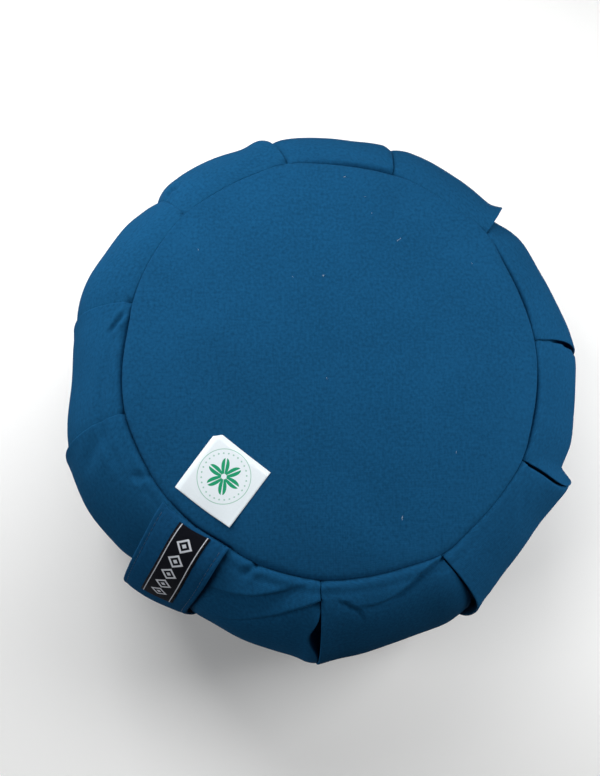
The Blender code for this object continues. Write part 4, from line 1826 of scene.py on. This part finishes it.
@dataclass
class PaperLabel:
    """The square paper label on the top panel, one corner cut off and one a little lifted.

    Attributes:
        panel: The panel that it is stuck on.
        side: Length of its sides.
        clip: The cut corner.
        thickness: Paper and glue.
        centre: Its middle, in plan.
        turned: Degrees by which it is turned in plan.
        curl: How far the lifted corner stands up.
        gap: What it keeps clear of the panel.
        points: Points along each side.
    """

    panel: RoundPanel
    side: float = 0.042
    clip: float = 0.0042
    thickness: float = 0.00022
    centre: tuple[float, float] = (-0.0044, -0.1051)
    turned: float = 1.6
    curl: float = 0.0012
    gap: float = 0.00018
    points: int = 44

    def build(self, finish: PrintedPaperFinish, rests_on: Object) -> Object:
        """Makes the label as a thin sheet that follows the panel.

        The grid's corner at -X +Y is drawn to the middle of the cut, which gives two corners
        there, and the corner at +X -Y lifts with the sixth power of its nearness.

        Args:
            finish: The printed paper.
            rests_on: The top panel. Not used.

        Returns:
            The label.
        """
        half = 0.5 * self.side
        line = np.concatenate(((0.0,), np.linspace(self.clip, self.side, self.points))) - half
        x, y = np.meshgrid(line, -line)
        x[0, 0] += 0.5 * self.clip
        y[0, 0] -= 0.5 * self.clip
        lift = self.curl * np.clip(0.5 * (x - y) / half, 0.0, 1.0) ** 6
        cosine, sine = math.cos(math.radians(self.turned)), math.sin(math.radians(self.turned))
        across, along = x * cosine - y * sine + self.centre[0], x * sine + y * cosine + self.centre[1]
        plan = np.stack((across, along, 0.0 * x), axis=-1)
        under = self.panel.outer_z(plan) + self.gap + lift
        outer = np.concatenate((plan[..., :2], (under + self.thickness)[..., None]), axis=-1)
        inner = np.concatenate((plan[..., :2], under[..., None]), axis=-1)
        settled = self.panel.form.settled
        surface = slab(settled(outer), settled(inner), np.stack((x, y), axis=-1))
        label = surface.piece("paper_square", finish.material())
        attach(label, "root")
        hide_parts("paper_label")
        return label


@dataclass
class Lint:
    """Cotton lint caught on the top panel: short curled fibres.

    Attributes:
        panel: The panel that they lie on.
        specks: Plan places of the larger tufts, of three fibres each.
        scattered: How many fine fibres lie about.
        tuft_fibre: Length and radius of a tuft's fibre.
        fine_fibre: The same of a fine one.
        taper: A fibre's thickness along it, as shares.
    """

    panel: RoundPanel
    specks: tuple[tuple[float, float], ...] = (
        (-0.0709, 0.1031), (-0.0150, 0.0896), (-0.0370, 0.0365), (0.0955, -0.0519),
    )
    scattered: int = 7
    tuft_fibre: tuple[float, float] = (0.0011, 0.00011)
    fine_fibre: tuple[float, float] = (0.0014, 0.00006)
    taper: tuple[float, ...] = (0.4, 0.9, 1.0, 1.0, 1.0, 0.9, 0.4)

    def fibres(self, spots: Array, length: float, rng: np.random.Generator) -> Array:
        """Curled paths over the panel: arcs of random heading and bend, lying just on the cloth.

        Args:
            spots: Plan places, (n, 2).
            length: Length of a fibre.
            rng: Source of the random draws.

        Returns:
            Points of the paths, (n, 7, 3).
        """
        each, most_bend, gap, arch = (len(spots), 1), 2.2, 0.00018, 0.0003
        share = np.linspace(-0.5, 0.5, len(self.taper))[None, :]
        heading = rng.uniform(0.0, 2.0 * np.pi, each) + rng.uniform(-most_bend, most_bend, each) * share
        size = length * rng.uniform(0.6, 1.3, each) / (len(self.taper) - 1)
        x = spots[:, :1] + np.cumsum(size * np.cos(heading), axis=1)
        y = spots[:, 1:] + np.cumsum(size * np.sin(heading), axis=1)
        plan = np.stack((x, y, 0.0 * x), axis=-1)
        rise = gap + arch * rng.uniform(0.0, 1.0, each) * (1.0 - 4.0 * share**2)
        plan[..., 2] = self.panel.outer_z(plan) + rise
        return self.panel.form.settled(plan)

    def build(self, thread: ThreadFinish) -> Object:
        """Makes all the fibres as one piece.

        Args:
            thread: Their finish.

        Returns:
            The piece.
        """
        rng = np.random.default_rng(5)
        tufts = np.repeat(np.array(self.specks), 3, axis=0)
        tufts = tufts + rng.normal(scale=0.0004, size=tufts.shape)
        farthest = 0.88 * self.panel.form.seam_radius
        radius = farthest * np.sqrt(rng.uniform(0.0, 1.0, self.scattered))
        turn = rng.uniform(0.0, 2.0 * np.pi, self.scattered)
        loose = np.stack((radius * np.cos(turn), radius * np.sin(turn)), axis=-1)
        kinds = ((tufts, *self.tuft_fibre), (loose, *self.fine_fibre))
        paths = np.concatenate([self.fibres(spots, length, rng) for spots, length, _ in kinds])
        size = np.concatenate([np.full(len(spots), thick) for spots, _, thick in kinds])
        radius = size[:, None] * np.array(self.taper)
        piece = tubes(paths, radius, sides=5).piece("lint", thread.material())
        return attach(piece, "root")


# ---------------- the studio


@dataclass
class Studio:
    """A pale floor, soft lights all round, and the camera.

    Attributes:
        target: What the camera looks at.
        distance: From there to the camera.
        tilt: Degrees between the camera's line and +Z.
        azimuth: Ground direction from the target to the camera.
        up: Ground direction that is up in the picture.
        focal_pixels: Focal length in pixels of the 600 x 776 picture.
        shift_pixels: How far the optical axis is right of the picture's middle.
        picture_height: Height of that picture in pixels.
        lights: For each light its name, its ground direction and angle above the ground in
            degrees, its distance from the target, its size, and its power in watts.
        world: Colour of the even light from all round.
        world_strength: Its strength.
        floor_half: Half the floor's width.
        floor_z: Its height, a hair under the cushion.
    """

    target: tuple[float, float, float] = (0.0, 0.0, 0.0725)
    distance: float = 0.75
    tilt: float = 17.1
    azimuth: float = -66.4
    up: float = 128.6
    focal_pixels: float = 1076.0
    shift_pixels: float = 24.2
    picture_height: float = 776.0
    lights: tuple[tuple[str, float, float, float, float, float], ...] = (
        ("window_left", 173.6, 32.0, 0.62, 0.34, 3.20),
        ("window_right", 38.6, 32.0, 0.62, 0.34, 2.90),
        ("ceiling", 128.6, 55.0, 0.62, 0.34, 1.10),
        ("fill", -119.4, 32.0, 1.70, 0.90, 11.5),
    )
    world: str = "#f2f6fb"
    world_strength: float = 0.06
    floor_half: float = 4.0
    floor_z: float = -0.0002

    def aimed(self, place: Vector, up: Vector) -> Matrix:
        """A matrix at place whose -Z looks at the target and whose +Y is nearest up."""
        back = (place - Vector(self.target)).normalized()
        right = up.cross(back).normalized()
        turned = Matrix((right, back.cross(right), back)).transposed()
        return Matrix.Translation(place) @ turned.to_4x4()

    def towards(self, azimuth: float, elevation: float) -> Vector:
        """A unit vector from its ground direction and its angle above the ground, in degrees."""
        a, e = math.radians(azimuth), math.radians(elevation)
        return Vector((math.cos(a) * math.cos(e), math.sin(a) * math.cos(e), math.sin(e)))

    def build_camera(self) -> None:
        """The camera at the photograph's angle, without depth of field."""
        data = bpy.data.cameras.new("camera")
        data.sensor_width = 36.0
        data.lens = self.focal_pixels * data.sensor_width / self.picture_height
        data.shift_x = -self.shift_pixels / self.picture_height
        camera = bpy.data.objects.new("camera", data)
        place = Vector(self.target) + self.distance * self.towards(self.azimuth, 90.0 - self.tilt)
        camera.matrix_world = self.aimed(place, self.towards(self.up, 0.0))
        bpy.context.scene.collection.objects.link(camera)
        bpy.context.scene.camera = camera

    def build_light(
        self, name: str, azimuth: float, elevation: float, distance: float, size: float, power: float
    ) -> None:
        """A square soft light aimed at the cushion, as lights describes it."""
        data = bpy.data.lights.new(name, "AREA")
        data.shape, data.size, data.energy = "SQUARE", size, power
        light = bpy.data.objects.new(name, data)
        place = Vector(self.target) + distance * self.towards(azimuth, elevation)
        light.matrix_world = self.aimed(place, Vector((0.0, 0.0, 1.0)))
        bpy.context.scene.collection.objects.link(light)

    def build(self, floor_finish: FloorFinish) -> None:
        """Floor, lights, world, camera and plain colour handling.

        Args:
            floor_finish: The floor's paint.
        """
        signs = ((-1.0, -1.0), (1.0, -1.0), (1.0, 1.0), (-1.0, 1.0))
        corners = np.array([(x * self.floor_half, y * self.floor_half, self.floor_z) for x, y in signs])
        face = np.array(((0, 1, 2, 3),))
        floor = Surface(corners, [face], [flat_places(corners, face)]).piece("floor", floor_finish.material())
        # Dark cards lie on the floor beside the cushion in such a set-up, out of the picture, so
        # that no light bounces up to it. Here the floor is left out of bounced light instead.
        floor.visible_diffuse = False
        for light in self.lights:
            self.build_light(*light)
        world = bpy.data.worlds.new("studio")
        world.use_nodes = True
        sky = world.node_tree.nodes["Background"]
        sky.inputs["Color"].default_value = linear(self.world)
        sky.inputs["Strength"].default_value = self.world_strength
        bpy.context.scene.world = world
        bpy.context.scene.view_settings.view_transform = "Standard"
        self.build_camera()


def report(piece: Object) -> None:
    """Logs a piece's name and size."""
    LOG.info("%s: %d vertices, %d faces", piece.name, len(piece.data.vertices), len(piece.data.polygons))


def main() -> None:
    """Builds the studio and every piece."""
    logging.basicConfig(level=logging.INFO, format="%(message)s")
    Studio().build(FloorFinish())
    form = CushionForm(height=round(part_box("top_panel")[1].z, 6))
    band_canvas = CanvasFinish("woven cotton canvas, band", "#12466b")
    panel_canvas = CanvasFinish("woven cotton canvas, panels", "#12466b")
    strap_canvas = CanvasFinish("woven cotton canvas, strap", "#114267")
    blue_thread = ThreadFinish("spun polyester thread, blue", "#0f3d60")
    black_thread = ThreadFinish("spun polyester thread, black", "#16171c")
    lint_fibre = ThreadFinish("cotton lint", "#9fb6c6", 0.9)

    band = PleatedBand(form).build(band_canvas)
    report(band)
    top = RoundPanel(form, Side.TOP)
    top_piece = top.build(panel_canvas, band)
    report(top_piece)
    bottom_piece = RoundPanel(form, Side.BOTTOM).build(panel_canvas, band)
    report(bottom_piece)
    strap = CarryStrap(form)
    strap_piece = strap.build(strap_canvas, blue_thread, band)
    report(strap_piece)
    label = WovenLabel(strap)
    tape = WovenLabelFinish("damask label tape", "#0e1019", "#dfe3ec", 0.5 * label.width, label.length)
    report(label.build(tape, black_thread, strap_piece))
    paper = PaperLabel(top)
    printed = PrintedPaperFinish("coated label paper", "#e9f2f7", "#0f9a6c", "#9fcabb")
    report(paper.build(printed, top_piece))
    report(Lint(top).build(lint_fibre))


if __name__ == "__main__":
    main()
